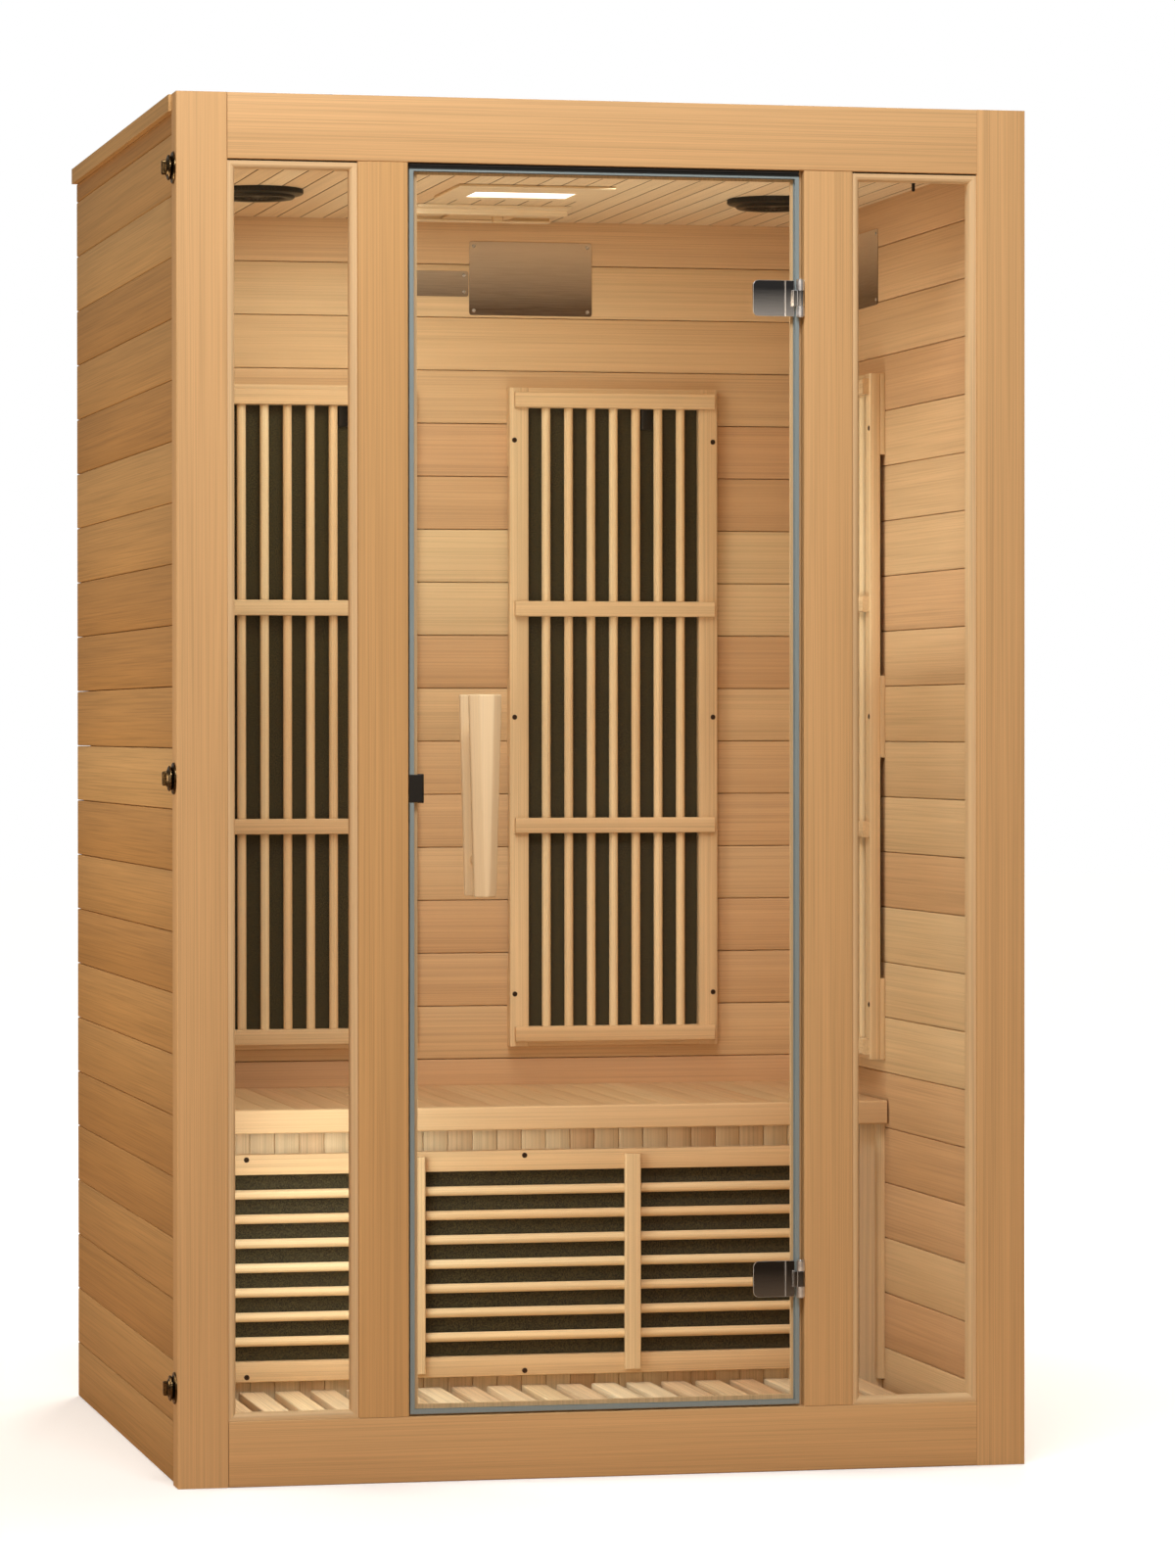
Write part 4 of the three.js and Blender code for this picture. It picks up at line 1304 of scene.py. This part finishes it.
@dataclass
class Bench:
    """Bench seat, apron and riser.

    Attributes:
        seat_boards: boards of the seat.
        riser_boards: boards of the riser.
        gap: free space between two boards.
        edge: radius of the boards' eased edges.
        apron_edge: radius of the apron's edges.
        moulding: radius of the quarter-round in the corners beside the riser.
        arc: steps of its rounding.
        sink: how far it reaches below the slats' top.
    """

    seat_boards: int = 26
    riser_boards: int = 30
    gap: float = 0.0006
    edge: float = 0.0014
    apron_edge: float = 0.003
    moulding: float = 0.012
    arc: int = 6
    sink: float = 0.004

    def corner(self, side: int) -> Mesh:
        """A quarter-round upright in the corner of riser and side wall.

        Args:
            side: -1 for the left corner, 1 for the right.

        Returns:
            The mesh.
        """
        low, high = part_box("bench_riser")
        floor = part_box("floor_slats")[1][2]
        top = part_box("bench_apron")[0][2]
        wall = high[0] if side > 0 else low[0]
        steps = [math.pi / 2 * i / self.arc for i in range(self.arc + 1)]
        outline = [(wall, low[1])]
        outline += [
            (wall - side * self.moulding * math.cos(a), low[1] - self.moulding * math.sin(a)) for a in steps
        ]
        shape = bmesh.new()
        rings = [[shape.verts.new((x, y, z)) for x, y in outline] for z in (floor - self.sink, top)]
        count = len(outline)
        for i in range(count):
            j = (i + 1) % count
            shape.faces.new((rings[0][i], rings[0][j], rings[1][j], rings[1][i]))
        for ring in rings:
            shape.faces.new(ring)
        return from_bmesh(shape, [TRIM_WOOD[Axis.Z]])

    def build(self) -> None:
        """Builds the bench."""
        seat = boards(INNER_WOOD[Axis.Y], Axis.Y, Axis.X, *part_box("bench_seat"), count=self.seat_boards,
                      gap=self.gap, edge=self.edge, seed=61)
        piece("bench_seat_boards", [seat], ["bench_seat"])
        apron = boards(INNER_WOOD[Axis.X], Axis.X, Axis.Z, *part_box("bench_apron"), edge=self.apron_edge,
                       arc=4, seed=64)
        piece("bench_apron_planed", [apron], ["bench_apron"])
        riser = boards(RISER_WOOD, Axis.Z, Axis.X, *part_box("bench_riser"), count=self.riser_boards,
                       gap=self.gap, edge=self.edge, seed=63)
        piece("bench_riser_boards", [riser], ["bench_riser"])
        piece("bench_corner_mouldings", [self.corner(-1), self.corner(1)])
        dress("bench_ledger", INNER_WOOD[Axis.X])


@dataclass
class Heater:
    """One infrared heater: frame, rails, dowels, screws, carbon sheet and its terminal block.

    It is laid out with its back at y = 0, its front towards -Y and its length along Z, and then put in place.

    Attributes:
        name: first part of the names of its solids.
        place: matrix from its own frame to the row frame.
        length: length of its frame.
        width: width of its frame.
        seed: seed of the boards' tones.
        depth: depth of the frame.
        stile: width of the frame's stiles.
        rail_width: width of a rail.
        rail_proud: how far the rails stand proud.
        rail_inset: how far they end short of the frame.
        rail_share: spacing of the two middle rails as a share of the length.
        dowels: number of dowels.
        dowel: diameter of a dowel.
        dowel_proud: how far the dowels reach into the rails.
        slot_length: length of a vent slot in the stiles.
        slot_depth: depth of a vent slot.
        slot_spacing: distance between the two vent slots.
        slot_shade_faces: outer and inner face of the dark strip of painted shade in a slot, from the stile's
            inner side.
        carbon: back and front of the carbon sheet, from the wall.
        block: width, depth and height of the terminal block.
        screw_inset: place of the screws from the sides.
        screw_reach: distance of the end screws from the middle of a heater of full length.
    """

    name: str
    place: Matrix
    length: float = 1.03
    width: float = 0.334
    seed: int = 0
    depth: float = 0.023
    stile: float = 0.03
    rail_width: float = 0.024
    rail_proud: float = 0.01
    rail_inset: float = 0.007
    rail_share: float = 0.329
    dowels: int = 7
    dowel: float = 0.014
    dowel_proud: float = 0.001
    slot_length: float = 0.332
    slot_depth: float = 0.007
    slot_spacing: float = 0.455
    slot_shade_faces: Span = (0.004, 0.006)
    carbon: Span = (0.004, 0.008)
    block: tuple[float, float, float] = (0.017, 0.0055, 0.032)
    screw_inset: float = 0.0075
    screw_reach: float = 0.433

    FULL_LENGTH = 1.03

    def wood(self, axis: Axis, stock: dict[Axis, Hemlock] = TRIM_WOOD) -> Finish:
        """Wood whose grain follows one of the heater's own axes.

        Args:
            axis: the heater's own axis.
            stock: wood for each axis.

        Returns:
            The finish.
        """
        moved = self.place.to_3x3() @ axis.unit
        largest = max(range(3), key=lambda i: abs(moved[i]))
        return stock[Axis(largest)]

    def frame(self) -> list[Mesh]:
        """The frame's stiles, with their vent slots, and its end pieces.

        Returns:
            The meshes, in the heater's own frame.
        """
        half_width, half_length = self.width / 2, self.length / 2
        opening = half_length - self.rail_inset - self.rail_width
        near, far = (self.slot_spacing - self.slot_length) / 2, (self.slot_spacing + self.slot_length) / 2
        parts = []
        for side in (-1, 1):
            x = sorted((side * half_width, side * (half_width - self.stile)))
            parts.append(boards(self.wood(Axis.Z), Axis.Z, Axis.X, (x[0], -self.depth, -half_length),
                                (x[1], -self.slot_depth, half_length), seed=self.seed + side))
            for z in ((-half_length, -far), (-near, near), (far, half_length)):
                parts.append(boards(self.wood(Axis.Z), Axis.Z, Axis.X, (x[0], -self.slot_depth, z[0]),
                                    (x[1], 0.0, z[1]), edge=0.0004, seed=self.seed + side))
            z = sorted((side * half_length, side * opening))
            inner = half_width - self.stile
            parts.append(boards(self.wood(Axis.X), Axis.X, Axis.Z, (-inner, -self.depth, z[0]),
                                (inner, 0.0, z[1]), seed=self.seed + 5 + side))
        return parts

    def rails_and_dowels(self) -> list[Mesh]:
        """The rails across the front and the round dowels behind them.

        Returns:
            The meshes, in the heater's own frame.
        """
        half = self.width / 2 - self.rail_inset
        end = self.length / 2 - self.rail_inset - self.rail_width / 2
        middle = self.rail_share * self.length / 2
        parts = []
        for i, z in enumerate((-end, -middle, middle, end)):
            parts.append(boards(
                self.wood(Axis.X), Axis.X, Axis.Z,
                (-half, -self.depth - self.rail_proud, z - self.rail_width / 2),
                (half, -self.depth, z + self.rail_width / 2), edge=0.002, arc=3, seed=self.seed + 9 + i,
            ))
        opening = self.width - 2 * self.stile
        gap = (opening - self.dowels * self.dowel) / (self.dowels + 1)
        reach = opening / 2 - gap
        front = -self.depth - self.dowel_proud
        parts.append(boards(
            self.wood(Axis.Z, DOWEL_WOOD), Axis.Z, Axis.X,
            (-reach, front, -end), (reach, front + self.dowel, end),
            count=self.dowels, gap=gap, edge=self.dowel / 2 - 1e-5, arc=6, seed=self.seed + 20,
        ))
        return parts

    def sheet(self) -> list[Mesh]:
        """The carbon sheet and its terminal block.

        Returns:
            The meshes, in the heater's own frame.
        """
        opening = self.width - 2 * self.stile
        half = self.length / 2 - self.rail_inset - self.rail_width - CLEAR
        side = opening / 2 - CLEAR
        pitch = (opening + self.dowel) / (self.dowels + 1)
        x = (self.dowels / 2 - 2.0) * pitch
        back, front = self.carbon
        width, depth, height = self.block
        return [
            boards(CARBON, Axis.Z, Axis.X, (-side, -front, -half), (side, -back, half), edge=0.0005),
            boards(BLACK_ABS, Axis.Z, Axis.X, (x - width / 2, -front - depth, half - height),
                   (x + width / 2, -front, half), edge=0.001),
        ]

    def painted_shade_strips(self) -> list[Mesh]:
        """Dark strips that close the vent slots from inside: painted shade, so that the slots look dark.

        Returns:
            The meshes, in the heater's own frame.
        """
        inner = self.width / 2 - self.stile
        parts = []
        for side in (-1, 1):
            x = sorted(side * (inner + face) for face in self.slot_shade_faces)
            for z in (-self.slot_spacing / 2, self.slot_spacing / 2):
                parts.append(boards(
                    BLACK_ABS, Axis.Z, Axis.X, (x[0], -self.slot_depth + SKIN, z - self.slot_length / 2),
                    (x[1], -SKIN, z + self.slot_length / 2), edge=0.0002,
                ))
        return parts

    def build(self) -> None:
        """Builds the heater in place."""
        edge = self.width / 2 - self.screw_inset
        reach = self.screw_reach * self.length / self.FULL_LENGTH
        places = [(side * edge, -self.depth - 0.0001, z) for side in (-1, 1) for z in (-reach, 0.0, reach)]
        guard = [*self.frame(), *self.rails_and_dowels(), *self.painted_shade_strips(), screws(places, Axis.Y, -1, SCREW)]
        element = self.sheet()
        for mesh in (*guard, *element):
            mesh.transform(self.place)
        piece(f"{self.name}_guard_wood", guard, [f"{self.name}_guard"])
        piece(f"{self.name}_element_sheet", element, [f"{self.name}_element"])


@dataclass
class Heaters:
    """The five heaters in their places.

    Attributes:
        bench_length: length of the heater under the bench.
    """

    bench_length: float = 0.99

    def place(self, name: str, turn: Matrix) -> Matrix:
        """Matrix that puts a heater's back on what carries it.

        Args:
            name: first part of the names of its solids.
            turn: its turn.

        Returns:
            The matrix.
        """
        low, high = (Vector(corner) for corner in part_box(f"{name}_guard"))
        centre = (low + high) / 2
        back = turn.to_3x3() @ Vector((0, 1, 0))
        largest = max(range(3), key=lambda i: abs(back[i]))
        centre[largest] = high[largest] if back[largest] > 0 else low[largest]
        return Matrix.Translation(centre) @ turn

    def build(self) -> None:
        """Builds all heaters."""
        upright = {
            "heater_back_left": 0.0,
            "heater_back_right": 0.0,
            "heater_left": math.pi / 2,
            "heater_right": -math.pi / 2,
        }
        for seed, (name, angle) in enumerate(upright.items()):
            turn = Matrix.Rotation(angle, 4, "Z")
            Heater(name, self.place(name, turn), seed=100 + 30 * seed).build()
        level = Matrix.Rotation(math.pi / 2, 4, "Y")
        Heater("heater_bench", self.place("heater_bench", level), length=self.bench_length, seed=230).build()


@dataclass
class Ceiling:
    """Speakers, lamp, vent and probe on the ceiling.

    Attributes:
        ribs: ribs round a speaker.
        bars: bars of its grille.
        bar_ring: radius of the ring that they are centred on.
        rib: length, width and height of a rib.
        bar: length, width and height of a bar.
        lamp_edge: radius of the lamp board's edges.
        vent_edge: radius of the vent frame's edges.
        slider_edge: radius of the vent slider's edges.
        probe_place: place of the temperature probe.
        probe_length: how far it hangs down.
    """

    ribs: int = 72
    bars: int = 36
    bar_ring: float = 0.0265
    rib: tuple[float, float, float] = (0.0034, 0.0026, 0.0052)
    bar: tuple[float, float, float] = (0.026, 0.0012, 0.0014)
    lamp_edge: float = 0.0012
    vent_edge: float = 0.0008
    slider_edge: float = 0.001
    probe_place: Span = (0.522, -0.25)
    probe_length: float = 0.0145

    def speaker(self, side: str) -> None:
        """Builds one speaker: stepped dish with a ribbed rim.

        Args:
            side: left or right.
        """
        node = f"speaker_{side}"
        low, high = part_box(node)
        centre = ((low[0] + high[0]) / 2, (low[1] + high[1]) / 2)
        top, bottom = high[2], low[2]
        radius = (high[0] - low[0]) / 2
        profile = [
            (0.0, bottom + 0.0035), (0.040, bottom + 0.0035), (0.043, bottom + 0.001), (0.046, bottom),
            (0.0525, bottom), (0.0545, bottom + 0.0012), (0.0560, bottom + 0.0042), (0.0625, bottom + 0.0052),
            (radius - 0.0016, bottom + 0.0066), (radius - 0.0004, bottom + 0.0086),
            (radius - 0.0004, top), (0.0, top),
        ]
        meshes = [turned(profile, BLACK_ABS, Matrix.Translation((*centre, 0.0)), 64)]
        for count, ring, size, z in (
            (self.ribs, radius - 0.0017, self.rib, top - 0.0035),
            (self.bars, self.bar_ring, self.bar, bottom + 0.003),
        ):
            row = grow(TREES.rib_ring, {
                "Count": count, "Radius": ring, "Rib": size, "Material": BLACK_ABS.material(),
            })
            row.transform(Matrix.Translation((*centre, z)))
            meshes.append(row)
        piece(f"{node}_housing", meshes, [node])

    def build(self) -> None:
        """Builds and dresses what is on the ceiling."""
        for side in ("left", "right"):
            self.speaker(side)
        lamp_board = softened("light_board", LAMP_WOOD, self.lamp_edge)
        piece("light_board_planed", [lamp_board], ["light_board"])
        dress("light_diffuser", LAMP)
        vent = softened("vent_frame", LAMP_WOOD, self.vent_edge)
        piece("vent_frame_planed", [vent], ["vent_frame"])
        slider = softened("vent_slider", INNER_WOOD[Axis.X], self.slider_edge)
        piece("vent_slider_planed", [slider], ["vent_slider"], Body.VENT.value)
        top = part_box("roof_panel")[0][2]
        profile = [
            (0.0, -self.probe_length), (0.0016, -self.probe_length), (0.0024, -self.probe_length + 0.001),
            (0.0024, -0.003), (0.005, -0.0026), (0.0052, 0.0), (0.0, 0.0),
        ]
        probe = turned(profile, BLACK_ABS, Matrix.Translation((*self.probe_place, top)), 20)
        piece("temperature_probe", [probe])


@dataclass
class Plates:
    """Bare stainless plates on the inner walls.

    Attributes:
        thickness: thickness of a plate.
        corner: radius of its corners.
        edge: radius of its edges.
        screw_inset: place of the screws from the edges.
        screw: radius of a screw's head.
        back: span along X and along Z of the large plate on the back wall.
        back_small: those of the small plate beside it.
        side: span along Y and along Z of the plate on the right wall.
    """

    thickness: float = 0.0012
    corner: float = 0.004
    edge: float = 0.0003
    screw_inset: float = 0.007
    screw: float = 0.0024
    back: tuple[Span, Span] = ((0.014, 0.210), (1.681, 1.796))
    back_small: tuple[Span, Span] = ((-0.118, 0.0126), (1.7096, 1.7494))
    side: tuple[Span, Span] = ((0.066, 0.262), (1.674, 1.788))

    def plate(self, name: str, low: Point, high: Point, facing: Axis) -> None:
        """Builds one plate with four screws.

        Args:
            name: name of the piece.
            low: lowest corner.
            high: highest corner.
            facing: axis of the plate's normal; it faces the lower coordinate.
        """
        row = Axis.X if facing is Axis.Y else Axis.Y
        sheet = boards(PLATE_STEEL[row], facing, row, low, high, edge=self.corner, arc=5)
        inset = self.screw_inset
        front = low[facing.value] - SKIN
        places = []
        for across in (low[row.value] + inset, high[row.value] - inset):
            for z in (low[2] + inset, high[2] - inset):
                point = [0.0, 0.0, z]
                point[row.value] = across
                point[facing.value] = front
                places.append(point)
        heads = screws(places, facing, -1, PLATE_SCREW, self.screw)
        piece(name, [eased(sheet, self.edge, 1), heads])

    def build(self) -> None:
        """Builds the three plates."""
        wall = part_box("back_wall")[0][1] - SKIN
        for name, (x, z) in (("back_plate", self.back), ("back_plate_small", self.back_small)):
            self.plate(name, (x[0], wall - self.thickness, z[0]), (x[1], wall, z[1]), Axis.Y)
        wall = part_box("right_wall")[0][0] - SKIN
        y, z = self.side
        self.plate("side_plate", (wall - self.thickness, y[0], z[0]), (wall, y[1], z[1]), Axis.X)


@dataclass
class Latches:
    """Corner latches: fixed rosettes and the turning knobs on them.

    Attributes:
        rosette: radius of the rosette.
        rosette_height: height of the rosette.
        bore: radius of the rosette's bore.
        wing: length and thickness of the knob's wing.
        wing_foot: height at which the wing starts.
        wing_edge: radius of its edges.
    """

    rosette: float = 0.022
    rosette_height: float = 0.0045
    bore: float = 0.0068
    wing: Span = (0.02, 0.007)
    wing_foot: float = 0.008
    wing_edge: float = 0.0022

    # Radius and height along the knob's turned foot.
    KNOB = (
        (0.0, 0.0), (0.006, 0.0), (0.006, 0.005), (0.0160, 0.005), (0.0174, 0.0058), (0.0174, 0.0072),
        (0.0162, 0.0082), (0.0130, 0.0086), (0.0118, 0.0098), (0.0092, 0.0110), (0.0, 0.0112),
    )

    def build(self) -> None:
        """Builds all latches."""
        rings = []
        for level in ("lower", "middle", "upper"):
            node = f"latch_{level}"
            low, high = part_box(node)
            centre = Vector((high[0], (low[1] + high[1]) / 2, (low[2] + high[2]) / 2))
            place = Matrix.Translation(centre) @ Matrix.Rotation(-math.pi / 2, 4, "Y")
            r, h, bore = self.rosette, self.rosette_height, self.bore
            rings.append(turned([
                (bore, 0.0), (r, 0.0), (r, 0.0012), (r - 0.001, 0.0022), (r - 0.004, 0.0026),
                (r - 0.0055, 0.0036), (r - 0.0075, h), (bore, h), (bore, 0.0),
            ], BRONZE, place, 48))
            reach = high[0] - low[0]
            knob = turned(self.KNOB, BRONZE, place, 40)
            shape = bmesh.new()
            bmesh.ops.create_cube(shape, size=1.0)
            size = Matrix.Diagonal((*self.wing, reach - self.wing_foot, 1.0))
            lift = Matrix.Translation((0.0, 0.0, (reach + self.wing_foot) / 2))
            bmesh.ops.transform(shape, matrix=place @ lift @ size, verts=shape.verts[:])
            wing = eased(from_bmesh(shape, [BRONZE]), self.wing_edge, 3)
            piece(f"{node}_knob", [knob, wing], [node], node)
        piece("latch_rosettes", rings)


@dataclass
class Controls:
    """Control panel on the inside of the left wall.

    Attributes:
        window: width and height of the display window.
        window_lift: height of its middle above the panel's.
        window_depth: how far it reaches behind and before the bottom of its recess.
        recess: depth of its recess.
        panel_edge: radius of the panel's edges.
        button_edge: radius of the buttons' edges.
    """

    window: Span = (0.102, 0.034)
    window_lift: float = 0.016
    window_depth: Span = (0.0005, 0.001)
    recess: float = 0.0015
    panel_edge: float = 0.0015
    button_edge: float = 0.0012

    def build(self) -> None:
        """Builds the panel, its display window and its two buttons."""
        low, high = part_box("control_panel")
        housing = softened("control_panel", BLACK_ABS, self.panel_edge)
        across, up = self.window[0] / 2, self.window[1] / 2
        y = (low[1] + high[1]) / 2
        z = (low[2] + high[2]) / 2 + self.window_lift
        face = high[0] - self.recess
        behind, before = self.window_depth
        window = boards(DISPLAY, Axis.X, Axis.Y, (face - behind, y - across, z - up),
                        (face + before, y + across, z + up), edge=0.003, arc=4)
        piece("control_panel_housing", [housing, window], ["control_panel"])
        for node in ("light_button", "power_button"):
            piece(f"{node}_cap", [softened(node, GREY_ABS, self.button_edge, 3)], [node], node)


@dataclass
class Studio:
    """Camera, lights, floor and white surroundings.

    Attributes:
        camera_place: camera position fitted to the photograph.
        yaw: turn to the right of +Y, in degrees.
        pitch: turn upwards, in degrees.
        roll: roll, in degrees.
        lens: focal length in millimetres.
        sensor: width of the camera's frame in millimetres.
        ambient: strength of the surroundings' own light.
        floor_lift: light that the floor adds to its own shade beside the cabin and far from it, so that it is
            white away from the shadow.
        lift_from: distances between which the floor goes from the first to the second.
        floor_size: half the floor's width.
        floor_drop: how far the floor lies under the cabin.
        inside: sRGB colour of the lamps in the cabin.
    """

    camera_place: tuple[float, float, float] = (-1.6948, -8.1231, 1.0347)
    yaw: float = 12.406
    pitch: float = -0.569
    roll: float = 0.037
    lens: float = 172.116
    sensor: float = 36.0
    ambient: float = 0.22
    floor_lift: Span = (0.34, 0.84)
    lift_from: Span = (0.9, 3.2)
    floor_size: float = 30.0
    floor_drop: float = 0.0005
    inside: str = "#F0FBF8"

    def camera(self) -> None:
        """Sets the camera at the photograph's viewing angle."""
        data = bpy.data.cameras.new("camera")
        data.sensor_fit = "HORIZONTAL"
        data.sensor_width = self.sensor
        data.lens = self.lens
        data.clip_end = 100.0
        camera = bpy.data.objects.new("camera", data)
        camera.location = self.camera_place
        camera.rotation_euler = (
            math.radians(90.0 + self.pitch), math.radians(self.roll), math.radians(-self.yaw)
        )
        bpy.context.scene.collection.objects.link(camera)
        bpy.context.scene.camera = camera

    def area(self, name: str, place: Point, aim: Point, size: Span, power: float,
             colour: str, mirrored: bool = True) -> None:
        """Adds one soft rectangular lamp.

        Args:
            name: its name.
            place: where it stands.
            aim: where it points.
            size: width and height.
            power: power in watts.
            colour: sRGB colour.
            mirrored: whether metal shows its reflection.
        """
        data = bpy.data.lights.new(name, "AREA")
        data.shape = "RECTANGLE"
        data.size, data.size_y = size
        data.energy = power
        data.color = linear(colour)[:3]
        lamp = bpy.data.objects.new(name, data)
        lamp.location = place
        lamp.visible_camera = False
        lamp.visible_glossy = mirrored
        lamp.rotation_euler = (Vector(aim) - Vector(place)).to_track_quat("-Z", "Y").to_euler()
        bpy.context.scene.collection.objects.link(lamp)

    def seen_directly(self, tree: Tree) -> Socket:
        """Number that is 1 for what the camera sees directly or through glass, and 0 for all other rays.

        Args:
            tree: shader tree.

        Returns:
            Socket with the number.
        """
        path = add_node(tree, "ShaderNodeLightPath").outputs
        return add_node(
            tree, "ShaderNodeMath",
            {0: path["Is Camera Ray"], 1: path["Is Transmission Ray"]}, operation="MAXIMUM",
        ).outputs[0]

    def surroundings(self) -> None:
        """Makes the world white to look at and an even soft light."""
        world = bpy.data.worlds.new("studio")
        bpy.context.scene.world = world
        world.use_nodes = True
        tree = world.node_tree
        tree.nodes.clear()
        soft = add_node(
            tree, "ShaderNodeBackground", {"Color": linear("#FFF3E4"), "Strength": self.ambient}
        ).outputs[0]
        white = add_node(tree, "ShaderNodeBackground", {"Color": grey(1.0), "Strength": 1.0}).outputs[0]
        chosen = add_node(tree, "ShaderNodeMixShader", {0: self.seen_directly(tree), 1: soft, 2: white})
        add_node(tree, "ShaderNodeOutputWorld", {"Surface": chosen.outputs[0]})

    def floor(self) -> None:
        """Lays a pale floor that keeps the cabin's shadow."""
        shape = bmesh.new()
        bmesh.ops.create_grid(shape, x_segments=1, y_segments=1, size=self.floor_size)
        mesh = bpy.data.meshes.new("studio_floor")
        shape.to_mesh(mesh)
        shape.free()
        ground = bpy.data.objects.new("studio_floor", mesh)
        ground.location = (0.0, 0.0, -self.floor_drop)
        bpy.context.scene.collection.objects.link(ground)
        material = bpy.data.materials.new("paper_white_matt")
        material.use_nodes = True
        tree = material.node_tree
        tree.nodes.clear()
        paper = add_node(tree, "ShaderNodeBsdfDiffuse", {"Color": grey(0.9)}).outputs[0]
        place = add_node(tree, "ShaderNodeTexCoord").outputs["Object"]
        away = add_node(tree, "ShaderNodeVectorMath", {0: place}, operation="LENGTH").outputs["Value"]
        lift = add_node(
            tree, "ShaderNodeMapRange",
            {"Value": away, "From Min": self.lift_from[0], "From Max": self.lift_from[1],
             "To Min": self.floor_lift[0], "To Max": self.floor_lift[1]},
            interpolation_type="SMOOTHSTEP",
        ).outputs[0]
        glow = add_node(tree, "ShaderNodeEmission", {"Color": grey(1.0), "Strength": lift}).outputs[0]
        bright = add_node(tree, "ShaderNodeAddShader", {0: paper, 1: glow}).outputs[0]
        dull = add_node(tree, "ShaderNodeBsdfDiffuse", {"Color": linear("#B8977A")}).outputs[0]
        chosen = add_node(tree, "ShaderNodeMixShader", {0: self.seen_directly(tree), 1: dull, 2: bright})
        add_node(tree, "ShaderNodeOutputMaterial", {"Surface": chosen.outputs[0]})
        mesh.materials.append(material)

    def build(self) -> None:
        """Sets up the studio."""
        bpy.context.scene.view_settings.view_transform = "Standard"
        self.camera()
        self.surroundings()
        self.floor()
        self.area("key", (-0.7, -2.8, 3.3), (-0.1, -0.5, 1.6), (1.6, 1.0), 72.0, "#FFFFFF")
        self.area("fill", (-2.2, -7.5, 1.5), (0.0, 0.0, 1.0), (2.0, 2.0), 86.0, "#FFDFBA")
        self.area("side", (-1.9, 0.0, 1.0), (-0.6, 0.0, 1.0), (0.8, 0.6), 11.0, "#FFEDD2")
        self.area("back", (1.6, 5.0, 3.4), (0.0, 0.4, 1.2), (2.0, 2.0), 190.0, "#FFF6EA")
        self.area("right", (5.0, 0.6, 2.2), (0.6, 0.0, 1.0), (2.0, 2.0), 110.0, "#FFF6EA")
        self.area("cabin_lamp", (-0.2, -0.05, 1.81), (-0.1, 0.05, 0.0), (0.5, 0.5), 5.2, self.inside, False)
        self.area("cabin_front", (-0.42, -0.3, 0.45), (0.6, 0.05, 0.25), (0.3, 0.5), 2.8, self.inside, False)
        self.area("cabin_bounce", (0.0, -0.2, 1.1), (0.0, -0.15, 1.8), (0.8, 0.5), 3.0, self.inside, False)


def main() -> None:
    """Builds every sub-assembly in order."""
    logging.basicConfig(level=logging.INFO, format="%(message)s")
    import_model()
    for assembly in (Studio(), Shell(), Windows(), Door(), Bench(), Heaters(), Ceiling(), Plates(), Latches(),
                     Controls()):
        LOG.info("building %s", type(assembly).__name__)
        assembly.build()


if __name__ == "__main__":
    main()
